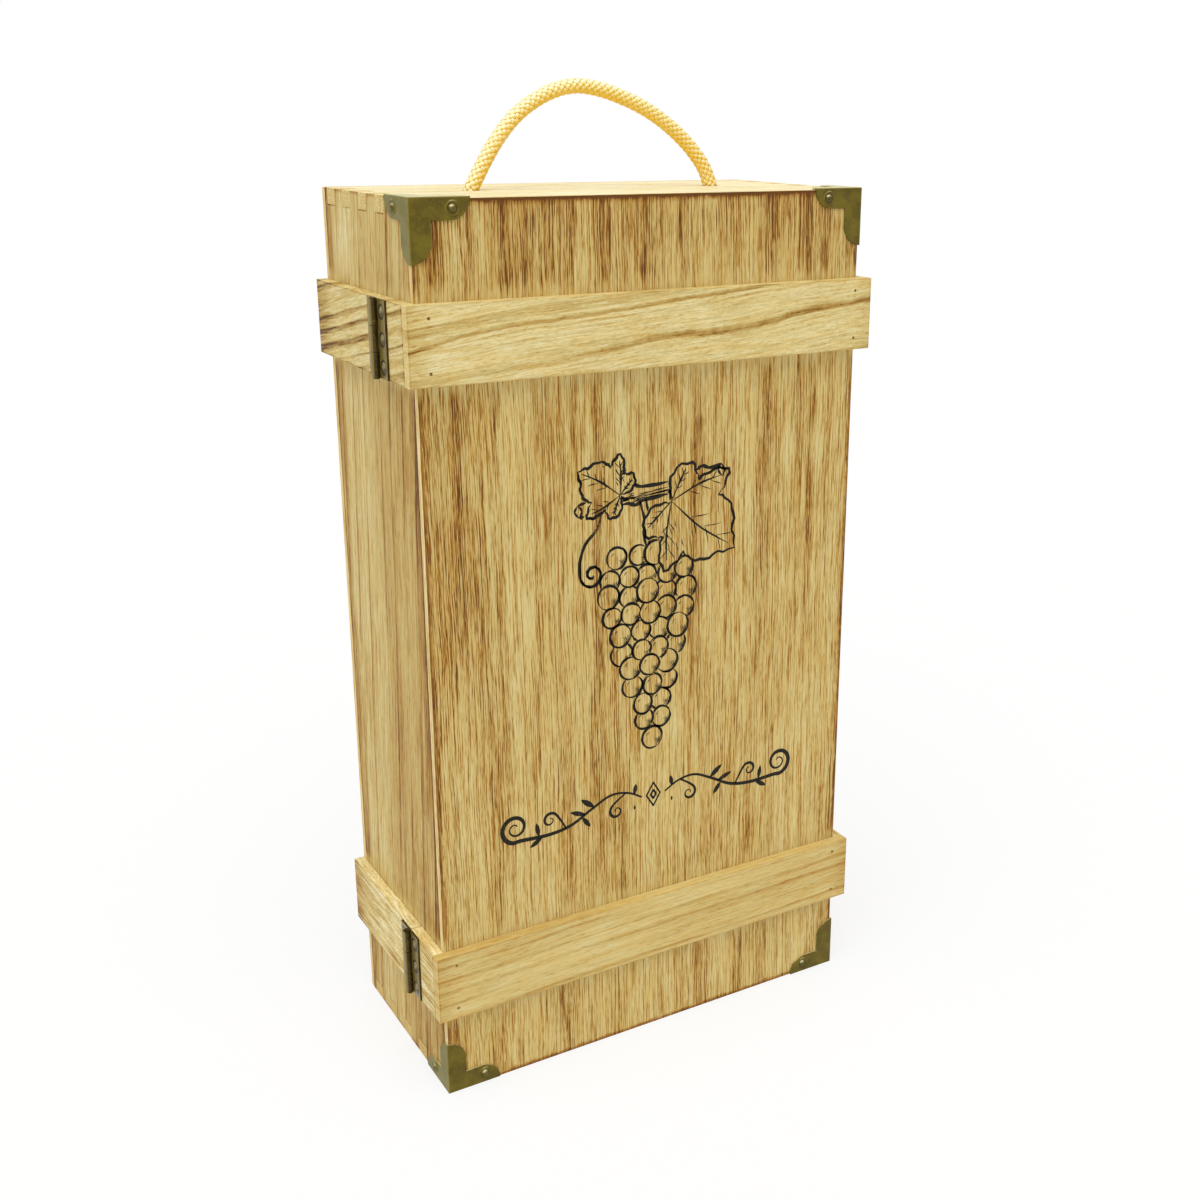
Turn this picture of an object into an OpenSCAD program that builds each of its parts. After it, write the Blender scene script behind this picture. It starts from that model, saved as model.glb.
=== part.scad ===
// Wooden wine box for two bottles.
// The case is glued up closed, sawn into a box and a shallow lid, banded, and
// hung on two butt hinges on its left side. The origin is the middle of the
// case's underside: +X right, +Y back, +Z up.

/* [Case] */
// Width of the wooden case, without its bands
case_w = 189; // [160:1:220]
// Depth of the wooden case, without its bands
case_d = 90.5; // [88.5:0.5:98]
// Height of the wooden case
case_h = 350; // [330:1:400]
// Thickness of the front and back panels
panel_t = 3; // [2.5:0.5:4]
// Thickness of the side boards
side_t = 7; // [6:0.5:9]
// Thickness of the top and bottom boards
end_t = 6; // [5.5:0.5:8]
// Thickness of the divider between the two bottles
divider_t = 6; // [4:0.5:9]
// Depth of the grooves that hold the divider
groove_d = 2; // [1:0.5:3]

/* [Lid] */
// Depth of the lid, from the front face to the middle of the saw cut
lid_d = 23; // [22:0.25:24]
// Width of the saw cut that parts the lid from the box
saw_cut = 0.5; // [0.4:0.1:0.8]

/* [Finger joints] */
// Distance from one finger to the next
finger_pitch = 17.2; // [17:0.1:17.4]
// Width of one finger
finger_w = 8.6; // [7.6:0.1:8.8]

/* [Bands] */
// Height of a band
band_h = 28.4; // [26:0.2:32]
// Thickness of a band
band_t = 4.5; // [4:0.5:6]
// Height of the lower band's bottom edge
lower_band_z = 36; // [28:1:60]
// Height of the upper band's bottom edge
upper_band_z = 287; // [250:1:290]

/* [Hinges and latches] */
// Outer radius of the rolled knuckles
knuckle_r = 1.6; // [1.5:0.1:1.8]
// Radius of the pins
pin_r = 0.8; // [0.6:0.1:0.9]
// Thickness of the sheet metal
leaf_t = 0.8; // [0.6:0.1:0.9]
// Width of one hinge leaf, measured from its pin
leaf_w = 8.75; // [8:0.25:10]
// Length of a latch arm, measured from its pin to its lip
arm_l = 18.5; // [18:0.5:22]

/* [Corner brackets] */
// Length of a bracket's arms
bracket_l = 21.8; // [20.6:0.1:22.5]
// Width of a bracket's arms
bracket_w = 7.3; // [7:0.1:10]
// Thickness of the bracket's sheet
bracket_t = 0.7; // [0.5:0.1:0.9]

/* [Rope handle] */
// Thickness of the braided rope
rope_d = 6; // [5:0.5:6.5]
// Distance between the two rope holes
rope_span = 105; // [105:1:107]

/* [Hidden] */
$fn = 48;

// Colours of the woods, the metals and the rope
burnt_wood = [0.78, 0.62, 0.36];
plain_wood = [0.84, 0.72, 0.47];
band_wood = [0.88, 0.76, 0.50];
old_brass = [0.45, 0.40, 0.17];
bronze = [0.30, 0.25, 0.15];
rope_yellow = [0.88, 0.70, 0.30];

// Faces of the case and of the saw cut
x_out = case_w / 2;
x_in = x_out - side_t;
y_front = -case_d / 2;
y_back = case_d / 2;
y_cut = y_front + lid_d;
lid_y0 = y_front + panel_t;
lid_y1 = y_cut - saw_cut / 2;
body_y0 = y_cut + saw_cut / 2;
body_y1 = y_back - panel_t;
x_band = x_out + band_t;
band_mid = band_h / 2;
over = 1;

// Finger joints: five fingers, one of them in the lid
finger_n = 5;
finger_shift = 0.8;

// Hinges: three knuckles, the middle one on the lid
knuckle_gap = 0.2;
knuckle_lift = 0.15;
axis_off = knuckle_r + knuckle_lift;
hinge_l = band_h - 0.4;
sheet_start = knuckle_r + 0.3;
tab_start = 0.25;
seam_w = 0.3;
pin_play = 0.04;
pin_head_r = 1.15;
pin_head_h = 0.4;
outer_knuckles = [0, 2];
middle_knuckle = [1];

// Screws, nails and brads
screw_r = 0.9;
screw_l = 8;
latch_screw_head_r = 1.6;
hinge_screw_head_r = 2.15;
screw_head_h = 0.7;
screw_play = 0.05;
screw_slot = 0.4;
hinge_screw_y = 5.4;
hinge_screw_rise = 9.8;
nail_r = 0.6;
nail_l = 6.5;
nail_head_r = 1.6;
nail_head_h = 0.9;
seat_r = 2.9;
seat_rim_r = 2.6;
seat_dish_r = 2.4;
seat_h = 0.28;
seat_play = 0.1;
front_nail_x = 15.3;
side_nail_y = 14;
nail_edge = 3.3;
brad_r = 0.45;
brad_l = 14;
brad_head_r = 0.6;
brad_head_h = 0.8;
brad_sink = 0.5;
brad_play = 0.03;
brad_rise = 9.5;
brad_x = x_out - side_t / 2;

// Latches: a pinned arm on the lid drops over a lug on the box
latch_y = y_cut - 6.75;
latch_knuckles_h = 13;
latch_plate_h = 19;
latch_plate_end = 9.5;
latch_screw_y = 5.5;
latch_screw_rise = 6.6;
arm_h = 9;
arm_x = 1.3;
lug_y = 14.5;
lug_w = 5.6;
lug_t = 1.6;
lug_out = 4;
lug_eye_r = 0.9;
slot_play = 0.4;
catch_w = 8;
catch_rise = 7.4;
lip_l = 2.4;
lip_angle = 40;

// Rope handle: its route, across and above the top board, and its stopper knots
rope_r = rope_d / 2;
rope_hole_r = rope_r + 0.5;
rope_x = rope_span / 2;
rope_sides = 10;
knot_core_r = 3.8;
knot_h = 12;
knot_tail = 8;
rope_arch = [
    [-50.5, 4], [-47, 10], [-42, 17.5], [-35, 25.5], [-27, 31.5], [-17.5, 36], [-8, 37.8],
    [1.5, 36.8], [11.5, 34], [22, 29.8], [32, 24], [41.5, 16.5], [49, 8]
];
rope_route = concat(
    [[-rope_x, 0, case_h - end_t], [-rope_x, 0, case_h]],
    [for (p = rope_arch) [p[0], 0, case_h + p[1]]],
    [[rope_x, 0, case_h], [rope_x, 0, case_h - end_t]]
);
rope_last = len(rope_route) - 1;

function finger_y(k) = finger_shift + (k - (finger_n - 1) / 2) * finger_pitch - finger_w / 2;

function knuckle_len(total) = (total - 2 * knuckle_gap) / 3;

function knuckle_z(i, total) = i * (knuckle_len(total) + knuckle_gap) - total / 2;

// ---------- shared shapes ----------

module block(low, high) {
    translate(low) cube(high - low);
}

// Children on the left and, mirrored, on the right
module both_sides() {
    children();
    mirror([1, 0, 0]) children();
}

// Round-headed screw, its head's underside at z = 0 and its shank pointing down
module screw(head_r) {
    dome_r = (head_r * head_r + screw_head_h * screw_head_h) / (2 * screw_head_h);
    difference() {
        union() {
            translate([0, 0, -screw_l]) cylinder(r = screw_r, h = screw_l, $fn = 24);
            intersection() {
                translate([0, 0, screw_head_h - dome_r]) sphere(r = dome_r, $fn = 48);
                cylinder(r = head_r, h = screw_head_h + over, $fn = 32);
            }
        }
        translate([-head_r - over, -screw_slot / 2, screw_head_h / 2])
            cube([2 * (head_r + over), screw_slot, screw_head_h]);
    }
}

module screw_hole() {
    translate([0, 0, -screw_l - screw_play])
        cylinder(r = screw_r + screw_play, h = screw_l + screw_play + over, $fn = 24);
}

// Domed furniture nail, its head's underside at z = 0
module nail() {
    dome_r = (nail_head_r * nail_head_r + nail_head_h * nail_head_h) / (2 * nail_head_h);
    translate([0, 0, -nail_l]) cylinder(r = nail_r, h = nail_l, $fn = 24);
    intersection() {
        translate([0, 0, nail_head_h - dome_r]) sphere(r = dome_r, $fn = 48);
        cylinder(r = nail_head_r, h = nail_head_h + over, $fn = 32);
    }
}

module nail_hole() {
    translate([0, 0, -nail_l - brad_play])
        cylinder(r = nail_r + brad_play, h = nail_l + brad_play + over, $fn = 24);
}

// Rim pressed up in a bracket's sheet, so that the nail's head sits in a dish
module nail_seat() {
    seat_foot_r = nail_head_r + seat_play;
    difference() {
        union() {
            translate([0, 0, -bracket_t / 2]) cylinder(r = seat_r, h = bracket_t / 2);
            cylinder(r1 = seat_r, r2 = seat_rim_r, h = seat_h);
        }
        cylinder(r1 = seat_foot_r, r2 = 2 * seat_dish_r - seat_foot_r, h = 2 * seat_h);
    }
}

// Finishing brad, the top of its head at z = 0
module brad() {
    translate([0, 0, -brad_l]) cylinder(r = brad_r, h = brad_l, $fn = 24);
    translate([0, 0, -brad_head_h]) cylinder(r = brad_head_r, h = brad_head_h, $fn = 24);
}

module brad_hole() {
    translate([0, 0, -brad_l - brad_play])
        cylinder(r = brad_r + brad_play, h = brad_l + over, $fn = 24);
    translate([0, 0, -brad_head_h - brad_play])
        cylinder(r = brad_head_r + brad_play, h = brad_head_h + brad_sink + over, $fn = 24);
}

// ---------- places of the fasteners ----------

// Children at each brad that pins a front band to the lid's side boards
module at_brads() {
    for (side = [-1, 1]) {
        for (z = [lower_band_z, upper_band_z]) {
            for (rise = [-brad_rise, brad_rise]) {
                translate([side * brad_x, y_front - band_t + brad_sink, z + band_mid + rise])
                    rotate([90, 0, 0]) children();
            }
        }
    }
}

// Children in the frame of one front corner: X, Y and Z point into the wood.
// The lower brackets are let in, so that the box stands level on its underside.
module at_corner(right, top) {
    mirror([right ? 1 : 0, 0, 0])
        translate([-x_out, y_front, top ? case_h : bracket_t])
            mirror([0, 0, top ? 1 : 0]) children();
}

module at_corner_nails() {
    translate([front_nail_x, -bracket_t, nail_edge]) rotate([90, 0, 0]) children();
    translate([-bracket_t, side_nail_y, nail_edge]) rotate([0, -90, 0]) children();
}

module at_bracket_nails() {
    for (right = [false, true]) {
        for (top = [false, true]) {
            at_corner(right, top) at_corner_nails() children();
        }
    }
}

// Children at the hinge axis beside one band, X pointing away from the pin into the wood
module at_hinge(band_z) {
    translate([-x_band - axis_off, y_cut, band_z + band_mid]) children();
}

// Children at the three screws of a leaf on the back (1) or front (-1) of the pin
module at_leaf_screws(towards) {
    for (rise = [-hinge_screw_rise, 0, hinge_screw_rise]) {
        translate([axis_off - leaf_t, towards * hinge_screw_y, rise]) rotate([0, -90, 0]) children();
    }
}

module at_hinge_screws(towards) {
    for (z = [lower_band_z, upper_band_z]) {
        at_hinge(z) at_leaf_screws(towards) children();
    }
}

// Children on the right side's band, Y starting at the latch's pin and X pointing out
module at_latch(band_z) {
    translate([x_band, latch_y, band_z + band_mid]) children();
}

module at_latch_screws(y, rise) {
    for (z = [lower_band_z, upper_band_z]) {
        for (up = [-rise, rise]) {
            at_latch(z) translate([leaf_t, y, up]) rotate([0, 90, 0]) children();
        }
    }
}

// ---------- joinery ----------

// Sockets that the end boards' fingers fill, at both ends of the left side board
module finger_sockets() {
    for (k = [0:finger_n - 1]) {
        for (z = [[-over, end_t], [case_h - end_t, case_h + over]]) {
            block([-x_out - over, finger_y(k), z[0]], [-x_in + over, finger_y(k) + finger_w, z[1]]);
        }
    }
}

// Board between the two sides with a finger through each; z0 is its underside
module end_board(y0, y1, z0) {
    block([-x_in, y0, z0], [x_in, y1, z0 + end_t]);
    for (k = [0:finger_n - 1]) {
        if (finger_y(k) > y0 && finger_y(k) + finger_w < y1)
            block([-x_out, finger_y(k), z0], [x_out, finger_y(k) + finger_w, z0 + end_t]);
    }
}

module side_board(y0, y1) {
    difference() {
        block([-x_out, y0, 0], [-x_in, y1, case_h]);
        finger_sockets();
    }
}

// Space for the let-in soles of the two lower brackets
module bracket_soles() {
    for (right = [false, true]) {
        at_corner(right, false) bracket_sheet();
    }
}

// ---------- box ----------

module body_left_side() {
    color(plain_wood) difference() {
        side_board(body_y0, body_y1);
        at_hinge_screws(1) screw_hole();
    }
}

module body_right_side() {
    color(plain_wood) difference() {
        mirror([1, 0, 0]) side_board(body_y0, body_y1);
        at_latch_screws(lug_y, catch_rise) screw_hole();
    }
}

module body_top_board() {
    color(plain_wood) difference() {
        end_board(body_y0, body_y1, case_h - end_t);
        block([-divider_t / 2, body_y0 - over, case_h - end_t - over],
            [divider_t / 2, body_y1 + over, case_h - end_t + groove_d]);
        both_sides() translate([rope_x, 0, case_h - end_t - over])
            cylinder(r = rope_hole_r, h = end_t + 2 * over);
    }
}

module body_bottom_board() {
    color(plain_wood) difference() {
        end_board(body_y0, body_y1, 0);
        block([-divider_t / 2, body_y0 - over, end_t - groove_d],
            [divider_t / 2, body_y1 + over, end_t + over]);
    }
}

module back_panel() {
    color(burnt_wood) block([-x_out, body_y1, 0], [x_out, y_back, case_h]);
}

module divider() {
    color(plain_wood) block([-divider_t / 2, body_y0, end_t - groove_d],
        [divider_t / 2, body_y1, case_h - end_t + groove_d]);
}

// Long band strip on the left of the box
module body_band(z) {
    block([-x_band, body_y0, z], [-x_out, y_back, z + band_h]);
}

module body_band_left(z) {
    color(band_wood) difference() {
        body_band(z);
        at_hinge_screws(1) screw_hole();
    }
}

module body_band_right(z) {
    color(band_wood) difference() {
        mirror([1, 0, 0]) body_band(z);
        at_latch_screws(lug_y, catch_rise) screw_hole();
    }
}

module body_band_upper_left() {
    body_band_left(upper_band_z);
}

module body_band_lower_left() {
    body_band_left(lower_band_z);
}

module body_band_upper_right() {
    body_band_right(upper_band_z);
}

module body_band_lower_right() {
    body_band_right(lower_band_z);
}

// ---------- lid ----------

module front_panel() {
    color(burnt_wood) difference() {
        block([-x_out, y_front, 0], [x_out, lid_y0, case_h]);
        at_brads() brad_hole();
        at_bracket_nails() nail_hole();
        bracket_soles();
    }
}

module lid_left_side() {
    color(plain_wood) difference() {
        side_board(lid_y0, lid_y1);
        at_brads() brad_hole();
        at_hinge_screws(-1) screw_hole();
        bracket_soles();
    }
}

module lid_right_side() {
    color(plain_wood) difference() {
        mirror([1, 0, 0]) side_board(lid_y0, lid_y1);
        at_brads() brad_hole();
        at_latch_screws(-latch_screw_y, latch_screw_rise) screw_hole();
        bracket_soles();
    }
}

module lid_top_rail() {
    color(plain_wood) difference() {
        end_board(lid_y0, lid_y1, case_h - end_t);
        at_bracket_nails() nail_hole();
    }
}

module lid_bottom_rail() {
    color(plain_wood) difference() {
        end_board(lid_y0, lid_y1, 0);
        at_bracket_nails() nail_hole();
        bracket_soles();
    }
}

// Band across the lid's front, over the ends of the side strips
module front_band(z) {
    color(band_wood) difference() {
        block([-x_band, y_front - band_t, z], [x_band, y_front, z + band_h]);
        at_brads() brad_hole();
    }
}

module front_band_upper() {
    front_band(upper_band_z);
}

module front_band_lower() {
    front_band(lower_band_z);
}

// Short band strip on the left of the lid
module lid_band(z) {
    block([-x_band, y_front, z], [-x_out, lid_y1, z + band_h]);
}

module lid_band_left(z) {
    color(band_wood) difference() {
        lid_band(z);
        at_hinge_screws(-1) screw_hole();
    }
}

module lid_band_right(z) {
    color(band_wood) difference() {
        mirror([1, 0, 0]) lid_band(z);
        at_latch_screws(-latch_screw_y, latch_screw_rise) screw_hole();
    }
}

module lid_band_upper_left() {
    lid_band_left(upper_band_z);
}

module lid_band_lower_left() {
    lid_band_left(lower_band_z);
}

module lid_band_upper_right() {
    lid_band_right(upper_band_z);
}

module lid_band_lower_right() {
    lid_band_right(lower_band_z);
}

module band_brads() {
    color(bronze) at_brads() brad();
}

// ---------- corner brackets ----------

// One arm along X, its tip rounded off on the inner side
module bracket_arm() {
    w = bracket_w + bracket_t;
    straight = bracket_l + bracket_t - w;
    square([straight, w]);
    intersection() {
        translate([straight, 0]) circle(r = w, $fn = 96);
        translate([straight, 0]) square([w, w]);
    }
}

module bracket_outline() {
    bracket_arm();
    mirror([1, -1]) bracket_arm();
}

// Sheet on the face Z = 0 of a corner
module bracket_sheet() {
    translate([-bracket_t, -bracket_t, -bracket_t]) linear_extrude(bracket_t) bracket_outline();
}

// Three sheets folded round one corner, with a dished hole in the front and the side
module bracket() {
    color(old_brass) difference() {
        union() {
            bracket_sheet();
            mirror([0, 1, 0]) rotate([90, 0, 0]) bracket_sheet();
            mirror([1, 0, 0]) rotate([0, -90, 0]) bracket_sheet();
            at_corner_nails() nail_seat();
        }
        at_corner_nails() nail_hole();
    }
}

module bracket_top_left() {
    at_corner(false, true) bracket();
}

module bracket_top_right() {
    at_corner(true, true) bracket();
}

module bracket_bottom_left() {
    at_corner(false, false) bracket();
}

module bracket_bottom_right() {
    at_corner(true, false) bracket();
}

module bracket_nails() {
    color(old_brass) at_bracket_nails() nail();
}

// ---------- hinges ----------

// Leaf on the back of the pin, with the knuckles named in the list
module hinge_leaf(knuckles) {
    k_len = knuckle_len(hinge_l);
    difference() {
        union() {
            block([axis_off - leaf_t, sheet_start, -hinge_l / 2], [axis_off, leaf_w, hinge_l / 2]);
            for (i = knuckles) {
                translate([0, 0, knuckle_z(i, hinge_l)]) {
                    cylinder(r = knuckle_r, h = k_len);
                    block([axis_off - leaf_t, tab_start, 0], [axis_off, sheet_start + over, k_len]);
                }
            }
        }
        translate([0, 0, -hinge_l]) cylinder(r = pin_r + pin_play, h = 2 * hinge_l);
        for (i = knuckles) {
            // Where the rolled edge of the sheet meets its own leaf
            translate([axis_off - leaf_t - seam_w, pin_r + seam_w, knuckle_z(i, hinge_l) - over])
                cube([seam_w, knuckle_r, k_len + 2 * over]);
        }
        at_leaf_screws(1) screw_hole();
    }
}

module hinge_body_leaf(z) {
    color(bronze) at_hinge(z) hinge_leaf(outer_knuckles);
}

module hinge_lid_leaf(z) {
    color(bronze) at_hinge(z) mirror([0, 1, 0]) hinge_leaf(middle_knuckle);
}

// Pin with a staked head at each end
module pin(length) {
    translate([0, 0, -length / 2]) cylinder(r = pin_r, h = length);
    for (end = [-length / 2 - pin_head_h, length / 2]) {
        translate([0, 0, end]) cylinder(r = pin_head_r, h = pin_head_h);
    }
}

module hinge_upper_body_leaf() {
    hinge_body_leaf(upper_band_z);
}

module hinge_lower_body_leaf() {
    hinge_body_leaf(lower_band_z);
}

module hinge_upper_lid_leaf() {
    hinge_lid_leaf(upper_band_z);
}

module hinge_lower_lid_leaf() {
    hinge_lid_leaf(lower_band_z);
}

module hinge_upper_pin() {
    color(bronze) at_hinge(upper_band_z) pin(hinge_l);
}

module hinge_lower_pin() {
    color(bronze) at_hinge(lower_band_z) pin(hinge_l);
}

module hinge_body_screws() {
    color(bronze) at_hinge_screws(1) screw(hinge_screw_head_r);
}

module hinge_lid_screws() {
    color(bronze) at_hinge_screws(-1) screw(hinge_screw_head_r);
}

// ---------- latches ----------

module latch_bore() {
    translate([axis_off, 0, -latch_knuckles_h])
        cylinder(r = pin_r + pin_play, h = 2 * latch_knuckles_h);
}

// Plate on the lid, with the two outer knuckles
module latch_plate(z) {
    k_len = knuckle_len(latch_knuckles_h);
    color(bronze) at_latch(z) difference() {
        union() {
            block([0, -latch_plate_end, -latch_plate_h / 2], [leaf_t, -sheet_start, latch_plate_h / 2]);
            for (i = outer_knuckles) {
                translate([0, 0, knuckle_z(i, latch_knuckles_h)]) {
                    translate([axis_off, 0, 0]) cylinder(r = knuckle_r, h = k_len);
                    block([0, -sheet_start - over, 0], [leaf_t, -tab_start, k_len]);
                }
            }
        }
        latch_bore();
        for (up = [-latch_screw_rise, latch_screw_rise]) {
            translate([leaf_t, -latch_screw_y, up]) rotate([0, 90, 0]) screw_hole();
        }
    }
}

module latch_pin(z) {
    color(bronze) at_latch(z) translate([axis_off, 0, 0]) pin(latch_knuckles_h);
}

// Arm with a slot for the lug, a round end and a lip for the finger
module latch_arm(z) {
    k_len = knuckle_len(latch_knuckles_h);
    color(bronze) at_latch(z) difference() {
        union() {
            translate([axis_off, 0, knuckle_z(1, latch_knuckles_h)])
                cylinder(r = knuckle_r, h = k_len);
            block([arm_x, 0, -k_len / 2], [arm_x + leaf_t, sheet_start + over, k_len / 2]);
            intersection() {
                block([arm_x, sheet_start + 0.2, -arm_h / 2], [arm_x + leaf_t, arm_l, arm_h / 2]);
                translate([arm_x - over, arm_l - 2 * arm_h, 0]) rotate([0, 90, 0])
                    cylinder(r = 2 * arm_h, h = leaf_t + 2 * over, $fn = 96);
            }
            translate([arm_x, arm_l - leaf_t, -k_len / 2])
                rotate([0, 0, -lip_angle]) cube([leaf_t, lip_l, k_len]);
        }
        latch_bore();
        block([arm_x - over, lug_y - lug_t / 2 - slot_play, -lug_w / 2 - slot_play],
            [arm_x + leaf_t + over, lug_y + lug_t / 2 + slot_play, lug_w / 2 + slot_play]);
    }
}

// Plate on the box with a round, pierced lug
module latch_catch(z) {
    color(bronze) at_latch(z) difference() {
        union() {
            block([0, lug_y - catch_w / 2, -latch_plate_h / 2],
                [leaf_t, lug_y + catch_w / 2, latch_plate_h / 2]);
            intersection() {
                translate([lug_out - lug_w / 2, lug_y + lug_t / 2, 0]) rotate([90, 0, 0])
                    cylinder(r = lug_w / 2, h = lug_t);
                block([0, lug_y - lug_t, -lug_w], [lug_out + over, lug_y + lug_t, lug_w]);
            }
            block([0, lug_y - lug_t / 2, -lug_w / 2],
                [lug_out - lug_w / 2, lug_y + lug_t / 2, lug_w / 2]);
        }
        translate([lug_out - lug_w / 2 + lug_eye_r, lug_y + lug_t, 0]) rotate([90, 0, 0])
            cylinder(r = lug_eye_r, h = 2 * lug_t);
        for (up = [-catch_rise, catch_rise]) {
            translate([leaf_t, lug_y, up]) rotate([0, 90, 0]) screw_hole();
        }
    }
}

module latch_upper_plate() {
    latch_plate(upper_band_z);
}

module latch_lower_plate() {
    latch_plate(lower_band_z);
}

module latch_upper_pin() {
    latch_pin(upper_band_z);
}

module latch_lower_pin() {
    latch_pin(lower_band_z);
}

module latch_upper_arm() {
    latch_arm(upper_band_z);
}

module latch_lower_arm() {
    latch_arm(lower_band_z);
}

module latch_upper_catch() {
    latch_catch(upper_band_z);
}

module latch_lower_catch() {
    latch_catch(lower_band_z);
}

module latch_lid_screws() {
    color(bronze) at_latch_screws(-latch_screw_y, latch_screw_rise) screw(latch_screw_head_r);
}

module latch_body_screws() {
    color(bronze) at_latch_screws(lug_y, catch_rise) screw(latch_screw_head_r);
}

// ---------- rope handle ----------

// Direction of the rope at one point of its route
function rope_dir(i) =
    let (a = rope_route[max(i - 1, 0)], b = rope_route[min(i + 1, rope_last)])
    (b - a) / norm(b - a);

function rope_ring(i) =
    let (d = rope_dir(i))
    [for (k = [0:rope_sides - 1])
        let (turn = 360 * k / rope_sides)
        rope_route[i] + rope_r * [cos(turn) * d[2], sin(turn), -cos(turn) * d[0]]];

module rope() {
    points = [for (i = [0:rope_last]) each rope_ring(i)];
    walls = [for (i = [0:rope_last - 1]) for (k = [0:rope_sides - 1])
        let (a = i * rope_sides + k, b = i * rope_sides + (k + 1) % rope_sides)
        [a, a + rope_sides, b + rope_sides, b]];
    first_cap = [for (k = [0:rope_sides - 1]) k];
    last_cap = [for (k = [rope_sides - 1:-1:0]) rope_last * rope_sides + k];
    color(rope_yellow) polyhedron(points, concat(walls, [first_cap, last_cap]), convexity = 4);
}

// Stopper knot under the top board: two turns of rope round a core, and a tail
module rope_knot(x) {
    color(rope_yellow) translate([x, 0, case_h - end_t]) {
        translate([0, 0, -knot_h]) cylinder(r = knot_core_r, h = knot_h);
        for (turn = [rope_r, knot_h - rope_r]) {
            translate([0, 0, -turn]) rotate_extrude() translate([knot_core_r, 0]) circle(r = rope_r);
        }
        translate([0, 0, -knot_h - knot_tail]) cylinder(r = rope_r, h = knot_tail);
    }
}

module rope_knot_left() {
    rope_knot(-rope_x);
}

module rope_knot_right() {
    rope_knot(rope_x);
}

body_left_side();
body_right_side();
body_top_board();
body_bottom_board();
back_panel();
divider();
body_band_upper_left();
body_band_lower_left();
body_band_upper_right();
body_band_lower_right();
front_panel();
lid_left_side();
lid_right_side();
lid_top_rail();
lid_bottom_rail();
front_band_upper();
front_band_lower();
lid_band_upper_left();
lid_band_lower_left();
lid_band_upper_right();
lid_band_lower_right();
bracket_top_left();
bracket_top_right();
bracket_bottom_left();
bracket_bottom_right();
bracket_nails();
band_brads();
hinge_upper_body_leaf();
hinge_upper_lid_leaf();
hinge_upper_pin();
hinge_lower_body_leaf();
hinge_lower_lid_leaf();
hinge_lower_pin();
hinge_body_screws();
hinge_lid_screws();
latch_upper_plate();
latch_upper_pin();
latch_upper_arm();
latch_upper_catch();
latch_lower_plate();
latch_lower_pin();
latch_lower_arm();
latch_lower_catch();
latch_lid_screws();
latch_body_screws();
rope();
rope_knot_left();
rope_knot_right();
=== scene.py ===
# %% [markdown]
# # A wooden wine box for two bottles
#
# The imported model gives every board, band, hinge and latch at its true place. This script dresses it: a
# camera, a braided rope, scorched wood, old brass and bronze, an ink print, and a plain white studio.
# Everything is in metres, in the frame of the model: X right, Y back, Z up, the origin under the box.

import math
import random

import bpy
import numpy as np
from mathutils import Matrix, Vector


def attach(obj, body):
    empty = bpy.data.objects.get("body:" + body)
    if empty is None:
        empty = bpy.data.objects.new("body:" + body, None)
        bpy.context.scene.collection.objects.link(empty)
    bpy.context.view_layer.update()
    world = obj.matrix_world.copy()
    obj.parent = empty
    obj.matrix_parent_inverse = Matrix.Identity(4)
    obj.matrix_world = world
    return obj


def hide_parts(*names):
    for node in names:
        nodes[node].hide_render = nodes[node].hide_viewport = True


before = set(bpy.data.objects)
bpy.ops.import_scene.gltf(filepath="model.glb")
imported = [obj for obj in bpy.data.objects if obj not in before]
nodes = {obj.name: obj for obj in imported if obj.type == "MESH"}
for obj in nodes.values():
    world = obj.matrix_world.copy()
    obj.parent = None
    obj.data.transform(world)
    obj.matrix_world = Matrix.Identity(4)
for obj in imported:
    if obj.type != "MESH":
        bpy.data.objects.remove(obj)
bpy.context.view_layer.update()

# %% [markdown]
# ## The measures that the script shares with the model
#
# A millimetre is the natural unit of a joiner, so lengths are written as a count of `MM`. The faces of the
# case and the heights of the bands come back in nearly every material, because a torch burns the middle of
# a board and leaves the wood beside a band pale.

# %% Measures of the case
MM = 0.001
CASE_X = 94.5 * MM
FRONT_Y = -45.25 * MM
BACK_Y = 45.25 * MM
CASE_Z = 350 * MM
PANEL = 3 * MM
BAND_OUT = 4.5 * MM
BAND_HIGH = 28.4 * MM
BAND_LOW_Z = 36 * MM
BAND_TOP_Z = 287 * MM
BAND_EDGES = (BAND_LOW_Z, BAND_LOW_Z + BAND_HIGH, BAND_TOP_Z, BAND_TOP_Z + BAND_HIGH)
CASE_LOW = (-CASE_X, FRONT_Y, 0.0)
CASE_HIGH = (CASE_X, BACK_Y, CASE_Z)
OUT_LEFT, OUT_RIGHT = (-1.0, 0.0, 0.0), (1.0, 0.0, 0.0)
OUT_FRONT, OUT_BACK = (0.0, -1.0, 0.0), (0.0, 1.0, 0.0)
OUT_DOWN, OUT_UP = (0.0, 0.0, -1.0), (0.0, 0.0, 1.0)

# %% [markdown]
# ## The camera
#
# The eye stands left of the box and a little above its middle, and looks down by about 17 degrees. The
# place and the angles were solved from the corners of the case, so the camera is written as a position, a
# yaw, a pitch and a small roll, from which its three axes follow. The shift frames the box off the middle.

# %% Camera
EYE = Vector((-0.278111, -0.524021, 0.378379))
YAW, PITCH, ROLL = 0.554985, -0.299662, 0.009773
LENS = 44.1133
SHIFT = (-0.078279, -0.027421)

ahead = Vector((math.sin(YAW) * math.cos(PITCH), math.cos(YAW) * math.cos(PITCH), math.sin(PITCH)))
level_right = Vector((math.cos(YAW), -math.sin(YAW), 0.0))
level_up = level_right.cross(ahead)
camera_right = math.cos(ROLL) * level_right + math.sin(ROLL) * level_up
camera_up = math.cos(ROLL) * level_up - math.sin(ROLL) * level_right

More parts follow.
